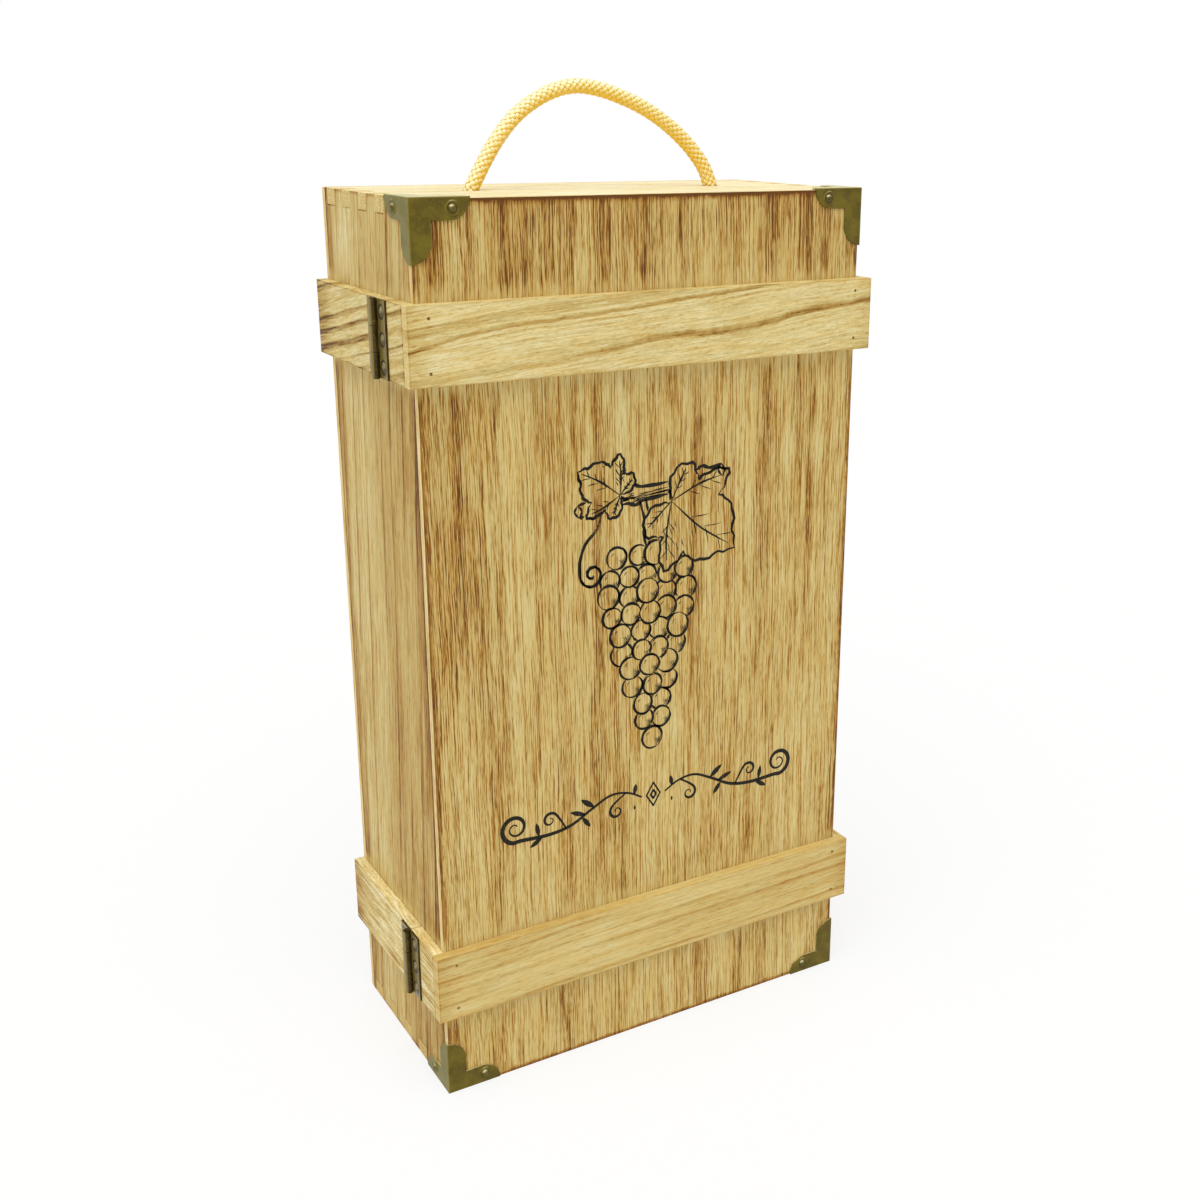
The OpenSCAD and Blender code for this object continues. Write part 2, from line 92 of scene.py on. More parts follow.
camera = bpy.data.objects.new("camera", bpy.data.cameras.new("camera"))
bpy.context.scene.collection.objects.link(camera)
camera.data.lens = LENS
camera.data.sensor_width = 36.0
camera.data.shift_x, camera.data.shift_y = SHIFT
camera.data.clip_start = 0.01
for row, values in enumerate(zip(camera_right, camera_up, -ahead, EYE)):
    camera.matrix_world[row] = values
bpy.context.scene.camera = camera
print("camera:", tuple(round(c, 3) for c in camera.matrix_world.translation))

# %% [markdown]
# ## Small helpers for shader nodes
#
# A material is a graph of nodes, and written out in full each node costs several lines. So the output of a
# node is wrapped as a signal, which can be added and multiplied like a number, and a few helpers make the
# kinds of node that come back in every material below.

# %% Helpers for nodes
def srgb(red, green, blue):
    """A colour given 0 to 255, as the linear colour that a shader wants."""
    parts = [c / 255 for c in (red, green, blue)]
    return tuple(c / 12.92 if c <= 0.04045 else ((c + 0.055) / 1.055) ** 2.4 for c in parts) + (1.0,)


class Signal:
    """The output of a node. Each arithmetic sign adds the node that does the sum."""

    def __init__(self, socket):
        self.socket = socket

    def __add__(self, other):
        return maths("ADD", self, other)

    def __sub__(self, other):
        return maths("SUBTRACT", self, other)

    def __rsub__(self, other):
        return maths("SUBTRACT", other, self)

    def __mul__(self, other):
        return maths("MULTIPLY", self, other)

    def __truediv__(self, other):
        return maths("DIVIDE", self, other)


def plug(socket, value):
    """A link for a signal, a constant for a number."""
    if isinstance(value, Signal):
        socket.id_data.links.new(value.socket, socket)
    else:
        socket.default_value = value


def add(kind, inputs, **settings):
    """A new node in the tree of its inputs, a dict of numbers and signals; settings are its properties."""
    tree = next(v.socket.id_data for v in inputs.values() if isinstance(v, Signal))
    made = tree.nodes.new(kind)
    for name, value in settings.items():
        setattr(made, name, value)
    for key, value in inputs.items():
        plug(made.inputs[key], value)
    return made


def maths(operation, *values):
    """A sum on numbers, or on vectors as soon as one of the values is a vector."""
    vector = any(isinstance(v, tuple) or isinstance(v, Signal) and v.socket.type == "VECTOR" for v in values)
    kind = "ShaderNodeVectorMath" if vector else "ShaderNodeMath"
    made = add(kind, dict(enumerate(values)), operation=operation)
    return Signal(made.outputs["Value" if operation in ("DOT_PRODUCT", "DISTANCE") else 0])


def ramp(value, low, high, start=0.0, end=1.0, shape="SMOOTHSTEP"):
    """A smooth step from start to end as value goes from low to high."""
    limits = {"Value": value, "From Min": low, "From Max": high, "To Min": start, "To Max": end}
    return Signal(add("ShaderNodeMapRange", limits, interpolation_type=shape).outputs["Result"])


def drawn_curve(value, points):
    """A curve through the points, from 0 to 1 both ways."""
    made = add("ShaderNodeFloatCurve", {"Value": value})
    curve = made.mapping.curves[0]
    curve.points[0].location = points[0]
    curve.points[-1].location = points[-1]
    for spot in points[1:-1]:
        curve.points.new(*spot)
    made.mapping.update()
    return Signal(made.outputs[0])


def noise(vector, scale=1.0, detail=2.0, roughness=0.5):
    looks = {"Vector": vector, "Scale": scale, "Detail": detail, "Roughness": roughness}
    return Signal(add("ShaderNodeTexNoise", looks).outputs["Fac"])


def mix(factor, first, second, blend_type="MIX"):
    """Two colours in one."""
    made = add("ShaderNodeMix", {0: factor, 6: first, 7: second}, data_type="RGBA", blend_type=blend_type)
    return Signal(made.outputs[2])


def fade(factor, first, second):
    """A number that goes from the first to the second."""
    return Signal(add("ShaderNodeMix", {0: factor, 2: first, 3: second}, data_type="FLOAT").outputs[0])


def split(vector):
    return [Signal(socket) for socket in add("ShaderNodeSeparateXYZ", {0: vector}).outputs]


def join(x, y, z):
    return Signal(add("ShaderNodeCombineXYZ", {0: x, 1: y, 2: z}).outputs[0])


# %% Helpers for groups and materials
def new_group(name, outputs, **inputs):
    """An empty node group. An input is given with its default, or None if it is a vector. Returns the output
    sockets, then each input as a signal."""
    tree = bpy.data.node_groups.new(name, "ShaderNodeTree")
    for label, default in inputs.items():
        kind = "NodeSocketVector" if default is None else "NodeSocketFloat"
        socket = tree.interface.new_socket(label, in_out="INPUT", socket_type=kind)
        if default is not None:
            socket.default_value = default
    for label in outputs:
        kind = "NodeSocketColor" if label == "Colour" else "NodeSocketFloat"
        tree.interface.new_socket(label, in_out="OUTPUT", socket_type=kind)
    given = [Signal(socket) for socket in tree.nodes.new("NodeGroupInput").outputs[:len(inputs)]]
    print("group", name, "makes", ", ".join(outputs))
    return [tree.nodes.new("NodeGroupOutput").inputs] + given


def place(group, **inputs):
    """The group among the nodes of its inputs, with its own values; returns its outputs."""
    made = add("ShaderNodeGroup", inputs, node_tree=bpy.data.node_groups[group])
    return [Signal(socket) for socket in made.outputs]


def start_material(name):
    """A new material with its shader, the place in the frame and the direction of the surface."""
    material = bpy.data.materials.new(name)
    material.use_nodes = True
    tree = material.node_tree
    tree.nodes.clear()
    out = tree.nodes.new("ShaderNodeOutputMaterial")
    shader = tree.nodes.new("ShaderNodeBsdfPrincipled")
    tree.links.new(shader.outputs[0], out.inputs[0])
    coordinates = tree.nodes.new("ShaderNodeTexCoord").outputs
    return material, shader, Signal(coordinates["Object"]), Signal(coordinates["Normal"])


def coat(shader, colour, roughness, relief, strength, depth):
    """The colour, the roughness and a fine bump; its depth is in millimetres."""
    bump = add("ShaderNodeBump", {"Strength": strength, "Distance": depth * MM, "Height": relief})
    plug(shader.inputs["Base Color"], colour)
    plug(shader.inputs["Roughness"], roughness)
    plug(shader.inputs["Normal"], Signal(bump.outputs[0]))


def facing(normal, direction):
    """1 where the surface faces that way, 0 where it faces another."""
    return ramp(maths("DOT_PRODUCT", normal, direction), 0.55, 0.85)


def dress(material, *names):
    for name in names:
        nodes[name].material_slots[0].material = material


# %% [markdown]
# ## Wood, effect by effect
#
# Every board shows the same few things: fine fibres that run along it, growth lines that drift across it,
# patches that the torch has browned, and edges that burn first. Each is a node group. They work in a
# "grain" space, where X runs across the fibres, Y goes into the board and Z along the fibres, so one group
# serves an upright board and a level band alike.
#
# The fibres are threads of half a millimetre to a millimetre across. A real thread has no one length: it
# runs on for centimetres, fades and returns after one, and is grainy close up. So three noises of much the
# same breadth and three lengths are added, and none of them is cut hard. A fourth, finer one gives the short
# dark pores.

# %% Group: fibres
out, vector, pitch, length, wander = new_group(
    "fibres", ("Lines", "Pores", "Soft"), Vector=None, Pitch=0.001, Length=0.02, Wander=0.001)
sway = noise(vector * (60.0, 60.0, 22.0)) - 0.5
x, y, z = split(vector)
thread = join((x + sway * wander) / pitch, y / pitch, z / length)
long_thread, thin_thread, short_thread = [
    noise(maths("MULTIPLY_ADD", thread, stretch, (7.0, 3.0, 5.0)), detail=1.0)
    for stretch in ((1.0, 1.0, 1.0), (1.2, 1.2, 3.0), (1.5, 1.5, 14.0))
]
lines = (long_thread - 0.5) * 1.1 + 0.5 + (thin_thread - 0.5) * 1.4 + (short_thread - 0.5) * 0.9
plug(out["Lines"], lines)
plug(out["Soft"], ramp(long_thread, 0.25, 0.75))
plug(out["Pores"], ramp(noise(thread * (1.6, 1.6, 12.0), detail=1.0), 0.58, 0.74))

# %% [markdown]
# A growth line is sharp on its dark side and fades on the other, because late wood ends abruptly when the
# next spring begins. A sawtooth of the distance across the board gives that. A slow noise bends the lines,
# a second one sets them at uneven distances, as wet and dry years do, and a third makes some of them faint.
# The bent position is handed out too, so that the fibres can follow the lines.

# %% Group: growth lines
out, vector, pitch, slope, wave, width = new_group(
    "growth_lines", ("Line", "Season", "Bent"), Vector=None, Pitch=0.018, Slope=0.05, Wave=0.004, Width=0.2)
slow = noise(vector * (22.0, 22.0, 9.0), detail=3.0, roughness=0.55)
x, y, z = split(vector)
bent = x + z * slope + (slow - 0.5) * wave
years = bent / pitch
years = years + noise(join(years * 0.8, 0.0, 0.0), detail=1.0) * 1.9
season = maths("FRACT", years)
crest = width * -0.22 + 1.0
rise = ramp(season, crest - width, crest)
fall = ramp(season, crest, 1.0, 1.0, 0.0)
strong = noise(join(maths("FLOOR", years) * 3.7, 0.0, z * 9.0))
strong = ramp(strong, 0.36, 0.62, 0.15, 1.1)
plug(out["Line"], rise * fall * strong)
plug(out["Season"], (season - 0.5) * strong)
plug(out["Bent"], bent)

# %% [markdown]
# The torch leaves long soft patches along the fibres. They break up into threads at their rim, since a hard
# thread browns before a soft one, so the group also takes the fibre value and shifts its threshold by it.

# %% Group: scorch
out, vector, breadth, length, cover, thread = new_group(
    "scorch", ("Scorch",), Vector=None, Breadth=0.012, Length=0.12, Cover=0.5, Thread=0.5)
x, y, z = split(vector)
cloud = noise(join(x / breadth, y / breadth, z / length), detail=2.5, roughness=0.55)
limit = 0.78 - cover * 0.42
plug(out["Scorch"], ramp((thread - 0.5) * 0.22 + cloud, limit - 0.13, limit + 0.13))

# %% [markdown]
# On a box-shaped board the distance to the nearest edge can be worked out exactly. The smallest of the three
# distances to its faces is nil, because the point lies on a face; the middle one is the way to the edge. A
# noise makes the burnt rim uneven.

# %% Group: board edges
out, vector, low, high, reach = new_group(
    "board_edges", ("Edge",), Vector=None, Low=None, High=None, Reach=0.002)
x, y, z = split(maths("MINIMUM", maths("ABSOLUTE", vector - low), maths("ABSOLUTE", high - vector)))
middle = maths("MAXIMUM", maths("MINIMUM", x, y), maths("MINIMUM", maths("MAXIMUM", x, y), z))
uneven = reach * (noise(vector, 260.0, 3.0, 0.6) * 2.2 - 0.1)
plug(out["Edge"], ramp(middle / uneven, 0.15, 1.0, 1.0, 0.0))

# %% [markdown]
# All the woods of the box lie on one scale, from fresh cream to charred brown. So every effect adds to a
# single number, the darkness, and one ramp turns darkness into colour. That keeps boards that were cut from
# different trees looking like parts of the same box. The flame also leaves some threads redder than others
# of the same depth, so a second noise warms the colour here and there.

# %% Group: wood colour
WOOD_SCALE = (
    (0.00, (249, 241, 210)), (0.07, (232, 220, 172)), (0.14, (222, 208, 155)), (0.30, (208, 189, 128)),
    (0.45, (194, 168, 103)), (0.60, (179, 143, 74)), (0.75, (160, 117, 49)), (0.90, (134, 88, 31)),
    (1.00, (100, 62, 21)),
)
out, darkness, vector = new_group("wood_colour", ("Colour",), Darkness=0.4, Vector=None)
scale = add("ShaderNodeValToRGB", {0: darkness})
stops = scale.color_ramp.elements
while len(stops) < len(WOOD_SCALE):
    stops.new(0.5)
for stop, (position, colour) in zip(stops, WOOD_SCALE):
    stop.position = position
    stop.color = srgb(*colour)
plain = Signal(scale.outputs["Color"])
flame = noise(vector * (320.0, 320.0, 50.0), detail=3.0, roughness=0.6)
redder = mix(1.0, plain, (1.0, 0.92, 0.77, 1.0), "MULTIPLY")
plug(out["Colour"], mix(ramp(flame, 0.34, 0.66), plain, redder))
print("stops of the wood scale:", len(WOOD_SCALE))

# %% [markdown]
# ## One recipe for all boards
#
# A board's material places these groups with its own values. `axes` says which way the fibres run, `offset`
# moves the pattern so that no two boards match, and `outward` is the side that the torch has reached: a saw
# cut, a glued face or the inside of the box stays bare. Before the darkness is turned into colour, a board
# can add what is its own through `extra`, like a fade beside a band.

# %% Wood recipe
AXES = {
    "upright_front": "xyz", "upright_side": "yxz", "level_front": "zyx", "level_side": "zxy", "flat": "yzx",
}


def wood(name, axes, offset, outward, base, fibre, line, scorch, edge, pore=0.10, pitch=0.9, length=40,
         wander=1.6, box=(CASE_LOW, CASE_HIGH), bare=0.10, tint=(255, 244, 222), extra=None, grey=0.0):
    """A board's material. line is pitch, slope, wave, width and strength; scorch is breadth, length, cover
    and strength; edge is reach and strength. Lengths are in millimetres."""
    material, shader, position, normal = start_material(name)
    across = dict(zip("xyz", split(position)))
    grain = join(*[across[axis] for axis in AXES[axes]]) + tuple(c * MM for c in offset)
    year, season, bent = place(
        "growth_lines", Vector=grain, Pitch=line[0] * MM, Slope=line[1], Wave=line[2] * MM, Width=line[3])
    _, y, z = split(grain)
    lines, pores, soft = place(
        "fibres", Vector=join(bent, y, z), Pitch=pitch * MM, Length=length * MM, Wander=wander * MM)
    [torch] = place(
        "scorch", Vector=grain, Breadth=scorch[0] * MM, Length=scorch[1] * MM, Cover=scorch[2], Thread=soft)
    [rim] = place("board_edges", Vector=position, Low=box[0], High=box[1], Reach=edge[0] * MM)
    blotch = noise(grain * (60.0, 60.0, 12.0))
    darkness = (blotch - 0.5) * 0.25 + base + (lines - 0.5) * fibre + pores * pore
    darkness = darkness + year * line[4] + season * (0.4 * line[4])
    darkness = maths("SMOOTH_MAX", darkness, base - 0.11, 0.14)
    bare_darkness = darkness - bare
    heat = maths("MAXIMUM", torch * scorch[3], rim * edge[1])
    if extra:
        heat, darkness = extra(position, grain, lines, soft, heat, darkness)
    burnt_side = facing(normal, outward)
    darkness = fade(burnt_side, bare_darkness, darkness + heat)
    [colour] = place("wood_colour", Darkness=darkness, Vector=grain)
    if grey:
        dull = mix(1.0, colour, (1.02, 1.30, 1.75, 1.0), "MULTIPLY")
        colour = mix(ramp(darkness, 0.40, 0.72, 0.0, grey), colour, dull)
    cut = mix(1.0, colour, srgb(*tint), "MULTIPLY")
    coat(shader, mix(burnt_side, cut, colour), soft * 0.2 + 0.52, soft * -0.6 + pores * -0.5, 0.5, 0.07)
    shader.inputs["Specular IOR Level"].default_value = 0.2
    return material


# %% [markdown]
# ## The burnt panels
#
# The front panel is what the eye meets first. Its streaks follow the board from top to bottom, some broad
# and soft, some no wider than a pencil line. A noise alone never puts them where a real board has them, so
# a curve over the board's width says how strongly each strip has taken the flame: one curve each for the
# strip above the upper band, the upper half, the lower half and the strip below the lower band. A burn turns
# the hard threads brown first and leaves pale ones between them, so it is multiplied by the threads. Beside
# the bands the flame didn't reach, and the wood stays pale.

# %% Front panel
TOP_STREAKS = (
    (-93, 4, 0.5), (-87, 4, 0.95), (-73, 3, 0.6), (-61, 5, 1.0), (-53, 3, 0.6), (-44, 5, 0.7), (-35, 2, 0.6),
    (-21, 3, 0.65), (-11, 3, 0.35), (-2, 5, 0.75), (13, 3, 0.6), (20, 2, 0.2), (34, 4, 0.6), (54, 6, 1.0),
    (68, 5, 0.8), (78, 3, 0.5), (90, 4, 0.7),
)
UPPER_STREAKS = (
    (-94, 2.5, 0.9), (-88, 4, 0.6), (-81, 7, 0.9), (-73, 4, 0.75), (-66, 2, 0.65), (-50, 1.6, 0.6),
    (-42, 4, 0.55), (-34, 4, 0.45), (-24, 3, 0.8), (-18, 2, 0.4), (-9, 4, 0.5), (0, 4, 0.45),
    (9, 4, 0.5), (19, 4, 0.65), (28, 3, 0.3), (35, 2, 0.35), (51, 4, 0.75), (59, 2, 0.2),
    (68, 3, 0.35), (74, 3, 0.7), (82, 3, 0.3), (94, 3, 0.6),
)
LOWER_STREAKS = (
    (-94, 3, 0.85), (-88, 3, 0.25), (-70, 4, 0.6), (-64, 2, 0.3), (-53, 3, 0.25), (-39, 5, 0.55),
    (-26, 5, 0.6), (-16, 5, 0.8), (-9, 3, 0.4), (2, 3, 0.1), (17, 3, 0.3), (25, 5, 0.5), (32, 3, 0.3),
    (40, 3, 0.4), (47, 4, 0.75), (58, 4, 0.4), (66, 3, 0.15), (86, 4, 0.3), (94, 4, 0.8),
)
BOTTOM_STREAKS = (
    (-92, 5, 0.8), (-82, 3, 0.3), (-72, 4, 0.6), (-52, 3, 0.25), (-40, 4, 0.7), (-30, 3, 0.4), (-16, 4, 0.75),
    (14, 3, 0.3), (24, 4, 0.5), (44, 4, 0.75), (56, 3, 0.4), (86, 3, 0.3), (92, 4, 0.7),
)
CURVE_STEPS, PANEL_WIDE = 95, 189.0


def streak_curve(place_x, streaks):
    """How burnt each strip of the board is: a bump for each streak, which gives its middle, its half width
    and its strength."""
    points = []
    for step in range(CURVE_STEPS + 1):
        across = PANEL_WIDE * (step / CURVE_STEPS - 0.5)
        burnt = max(s * math.exp(-(((across - at) / wide) ** 2)) for at, wide, s in streaks)
        points.append((step / CURVE_STEPS, min(1.0, burnt)))
    return drawn_curve(place_x, points)


def away_from_bands(height, reach):
    """0 against a band, 1 beyond reach."""
    near = maths("ABSOLUTE", height - BAND_EDGES[0])
    for edge in BAND_EDGES[1:]:
        near = maths("MINIMUM", near, maths("ABSOLUTE", height - edge))
    return ramp(near, 0.0, reach)


def panel_streaks(position, grain, lines, soft, heat, darkness):
    x, y, z = split(position)
    waver = noise(join(x * 90.0, 0.0, z * 30.0)) - 0.5
    place_x = ramp(x + waver * (4 * MM), -CASE_X, CASE_X, shape="LINEAR")
    burn = streak_curve(place_x, BOTTOM_STREAKS)
    zones = ((LOWER_STREAKS, 0.045, 0.055), (UPPER_STREAKS, 0.11, 0.20), (TOP_STREAKS, 0.29, 0.31))
    for streaks, low, high in zones:
        burn = fade(ramp(z, low, high), burn, streak_curve(place_x, streaks))
    life = noise(grain * (48.0, 48.0, 11.0), detail=3.0, roughness=0.6)
    burn = burn * ramp(life, 0.28, 0.66, 0.45, 1.2) * ramp(z, 0.31, 0.33, 1.08, 1.30)
    burn = burn + ramp(z, 0.31, 0.35, 0.0, 0.24)
    threads = (lines - 0.5) * 0.5 + 0.37
    heat = maths("MAXIMUM", heat, burn * threads) * away_from_bands(z, 8 * MM)
    top_line = ramp(z, 0.3465, 0.3495) * 0.30
    return heat + top_line, darkness


def back_heat(position, grain, lines, soft, heat, darkness):
    """The back was burnt without care: the flame only spared the soft wood."""
    return heat * (soft * 0.7 + 0.55), darkness


PANELS = dict(pore=0.14, length=55, wander=0.6, bare=0.20)
front_wood = wood("burnt_front", "upright_front", (0, 0, 0), OUT_FRONT, base=0.34, fibre=0.90, pitch=0.48,
                  line=(23, 0.01, 5, 0.1, 0.04), scorch=(11, 95, 0.36, 0.14), edge=(2.6, 0.52),
                  tint=(255, 250, 240), extra=panel_streaks, **PANELS)
back_wood = wood("burnt_back", "upright_front", (310, 40, 70), OUT_BACK, base=0.36, fibre=0.84, pitch=0.53,
                 line=(26, 0.015, 6, 0.1, 0.04), scorch=(13, 130, 0.6, 0.42), edge=(2.4, 0.45),
                 extra=back_heat, **PANELS)
dress(front_wood, "front_panel")
dress(back_wood, "back_panel")
print("burnt panels:", front_wood.name, back_wood.name)

# %% [markdown]
# ## The sides, the ends and the divider
#
# The side boards are paler. Their growth lines lie about 13 mm apart and lean a little. Box and lid were one
# board until the saw went through, so both halves share one material and the lines run on across the cut.
# The top was hardly touched by the flame. Where its fingers come through the sides they show end grain.

# %% Side, end and inner boards
END_THICK = 6 * MM
FINGER_START, FINGER_PITCH = -37.9 * MM, 17.2 * MM


def side_extra(position, grain, lines, soft, heat, darkness):
    """Browned strips along both long edges, and a burnt line where each finger of an end board seats."""
    x, y, z = split(position)
    smoke = noise(grain * (70.0, 70.0, 9.0), detail=3.0, roughness=0.6)
    back_strip = ramp(y, 0.030, 0.0415) * ramp(smoke, 0.30, 0.60, 0.10, 0.42)
    front_strip = ramp(y, -0.034, -0.0415) * ramp(smoke, 0.35, 0.65, 0.02, 0.24)
    broad = (smoke - 0.5) * 0.34 + ramp(y, 0.020, -0.008, 0.0, 0.17)
    heat = (heat + broad + (back_strip + front_strip)) * away_from_bands(z, 6 * MM)
    darkness = darkness + ramp(z, 0.30, 0.33) * -0.07
    step = maths("FRACT", (y - FINGER_START) / FINGER_PITCH)
    under = maths("LESS_THAN", step, 0.5) * ramp(smoke, 0.35, 0.6, 0.1, 0.45)
    for height in (END_THICK, CASE_Z - END_THICK):
        seat = ramp(maths("ABSOLUTE", z - height), 0.15 * MM, 0.7 * MM, 1.0, 0.0)
        heat = heat + seat * under
    return heat, darkness


BOARD_BOX = ((-CASE_X, FRONT_Y + PANEL, 0.0), (CASE_X, BACK_Y - PANEL, CASE_Z))
SIDES = dict(base=0.30, fibre=0.60, pore=0.18, pitch=0.7, length=60, wander=0.8, grey=0.1, edge=(1.8, 0.30),
             box=BOARD_BOX, extra=side_extra)
BOARD_WOODS = (
    ("side_left", ("body_left_side", "lid_left_side"), "upright_side", (9, 0, 0), OUT_LEFT,
     dict(line=(13, 0.075, 6, 0.20, 0.32), scorch=(9, 110, 0.35, 0.14), **SIDES)),
    ("side_right", ("body_right_side", "lid_right_side"), "upright_side", (140, 20, 230), OUT_RIGHT,
     dict(line=(12.5, -0.06, 7, 0.20, 0.30), scorch=(9, 110, 0.36, 0.15), **SIDES)),
    ("end_top", ("body_top_board", "lid_top_rail"), "flat", (80, 10, 35), OUT_UP,
     dict(base=0.02, fibre=0.50, pitch=0.8, length=60, wander=1.0, line=(15, 0.03, 6, 0.2, 0.10),
          scorch=(10, 90, 0.15, 0.06), edge=(1.2, 0.10), bare=-0.22, tint=(255, 252, 244))),
    ("end_bottom", ("body_bottom_board", "lid_bottom_rail"), "flat", (260, 30, 115), OUT_DOWN,
     dict(base=0.30, fibre=0.26, pore=0.08, length=50, line=(17, 0.03, 6, 0.2, 0.10),
          scorch=(10, 90, 0.25, 0.10), edge=(1.4, 0.2), bare=-0.04, tint=(255, 250, 240))),
    ("divider_board", ("divider",), "upright_side", (500, 90, 20), OUT_RIGHT,
     dict(base=0.22, fibre=0.24, pore=0.06, length=50, wander=1.2, line=(14, 0.05, 6, 0.2, 0.12),
          scorch=(9, 110, 0.1, 0.04), edge=(1.0, 0.05), bare=0.0)),
)
for name, names, axes, offset, outward, looks in BOARD_WOODS:
    dress(wood(name, axes, offset, outward, **looks), *names)
print("boards:", [row[0] for row in BOARD_WOODS])

# %% [markdown]
# ## The bands
#
# The bands are pale strips from several boards. The upper one on the front has long veins that climb to the
# right, the side strip beside it bold grey-brown lines, and the lower ones straight quiet grain. Two veins of
# the upper one cross its whole face, too long for a noise, so they are drawn as curves over its length. The
# upper edges of the bands caught no flame at all, and the ends at the back are browned.

# %% Bands
MAIN_VEIN = (
    (-99, 1.0), (-48, 5.0), (-25, 7.0), (3, 10.8), (29, 11.2), (50, 13.4), (61, 15.6), (75, 17.2), (99, 19.4),
)
THIN_VEIN = ((-99, 11.6), (-68, 18.0), (-25, 21.2), (6, 24.0), (36, 26.6), (99, 34.0))
VEIN_HALF, VEIN_HIGH = 99, 40


def vein(x, z, points, above, below):
    """1 on a line that is drawn over a front strip; it fades over `above` and `below`."""
    place_x = ramp(x, -VEIN_HALF * MM, VEIN_HALF * MM, shape="LINEAR")
    spots = [((across + VEIN_HALF) / (2 * VEIN_HALF), height / VEIN_HIGH) for across, height in points]
    waver = noise(join(x * 120.0, 0.0, 0.0), detail=3.0, roughness=0.6)
    centre = drawn_curve(place_x, spots) * (VEIN_HIGH * MM) + (BAND_TOP_Z - 0.9 * MM) + waver * (1.8 * MM)
    off = z - centre
    line = ramp(off, 0.5 * MM, above * MM, 1.0, 0.0) * ramp(off, -below * MM, 0.0)
    return line * ramp(waver, 0.36, 0.60, 0.75, 1.0)


def band_extra(back_burn, end_burn=0.0, veins=False):
    """Browning at the back end of a side strip and at both ends of a front strip."""
    def extra(position, grain, lines, soft, heat, darkness):
        x, y, z = split(position)
        if veins:
            darkness = darkness + vein(x, z, MAIN_VEIN, 3.0, 1.1) * ramp(x, -0.06, 0.03, 0.35, 1.0) * 0.56
            darkness = darkness + vein(x, z, THIN_VEIN, 1.7, 0.5) * 0.42
        behind = ramp(y, 0.024, 0.046) * back_burn * ramp(soft, 0.1, 0.7, 0.6, 1.3)
        ends = ramp(maths("ABSOLUTE", x), 0.088, 0.1) * end_burn
        return heat + (behind + ends), darkness
    return extra


def band_box(z, front):
    out_x = CASE_X + BAND_OUT
    if front:
        return ((-out_x, FRONT_Y - BAND_OUT, z), (out_x, FRONT_Y, z + BAND_HIGH))
    return ((-out_x, FRONT_Y, z), (out_x, BACK_Y, z + BAND_HIGH))


def side_strips(name):
    return ["body_band_" + name, "lid_band_" + name]


BANDS = (
    ("front_band_upper", ["front_band_upper"], (3, 0, 40), OUT_FRONT, BAND_TOP_Z,
     dict(base=0.20, line=(7, -0.085, 8, 0.22, 0.15), fibre=0.36, pore=0.22, pitch=0.7, length=30, grey=0.6,
          scorch=(9, 70, 0.2, 0.10))),
    ("front_band_lower", ["front_band_lower"], (60, 0, 300), OUT_FRONT, BAND_LOW_Z,
     dict(base=0.32, line=(5.5, -0.02, 2.5, 0.35, 0.16), fibre=0.24, pore=0.20, pitch=0.6, length=50,
          wander=1.0, scorch=(9, 70, 0.2, 0.06))),
    ("band_upper_left", side_strips("upper_left"), (5, 0, 20), OUT_LEFT, BAND_TOP_Z,
     dict(base=0.23, line=(5.6, 0.20, 5, 0.42, 0.48), fibre=0.46, pore=0.16, length=22, wander=2.0, grey=0.9,
          scorch=(8, 50, 0.3, 0.16))),
    ("band_lower_left", side_strips("lower_left"), (90, 0, 140), OUT_LEFT, BAND_LOW_Z,
     dict(base=0.14, line=(7, 0.02, 3, 0.3, 0.14), fibre=0.48, pore=0.24, pitch=0.7, length=20, wander=1.2,
          scorch=(10, 30, 0.5, 0.24))),
    ("band_upper_right", side_strips("upper_right"), (170, 9, 60), OUT_RIGHT, BAND_TOP_Z,
     dict(base=0.23, line=(7, -0.10, 5, 0.36, 0.36), fibre=0.42, pore=0.14, length=22, wander=2.0, grey=0.9,
          scorch=(8, 50, 0.3, 0.14))),
    ("band_lower_right", side_strips("lower_right"), (230, 9, 200), OUT_RIGHT, BAND_LOW_Z,
     dict(base=0.16, line=(7.5, 0.03, 3, 0.3, 0.12), fibre=0.48, pore=0.24, pitch=0.7, length=20, wander=1.2,
          scorch=(10, 34, 0.45, 0.22))),
)
for name, names, offset, outward, z, looks in BANDS:
    front = outward == OUT_FRONT
    axes = "level_front" if front else "level_side"
    heat = band_extra(0.0, 0.12, name == "front_band_upper") if front else band_extra(0.34)
    rim = (0.9, 0.14) if front else (1.0, 0.34)
    dress(wood(name, axes, offset, outward, edge=rim, box=band_box(z, front),
               bare=0.02, tint=(255, 252, 242), extra=heat, **looks), *names)
print("bands:", [row[0] for row in BANDS])

# %% [markdown]
# ## Eased edges
#
# A real edge is never a knife. The model's boards have sharp ones, so a bevel of a few tenths of a
# millimetre gives each edge a line of light. The model's meshes arrive split along their edges and cut into
# triangles: a weld joins them, and on plain strips the flat triangles are dissolved into whole faces. A bevel
# on the short edges round a drilled hole would fold over itself, so a small geometry group marks only the
# sharp edges that are longer than two millimetres. Weighted normals keep the broad faces flat. All of these
# are modifiers, so the meshes themselves stay as they are.

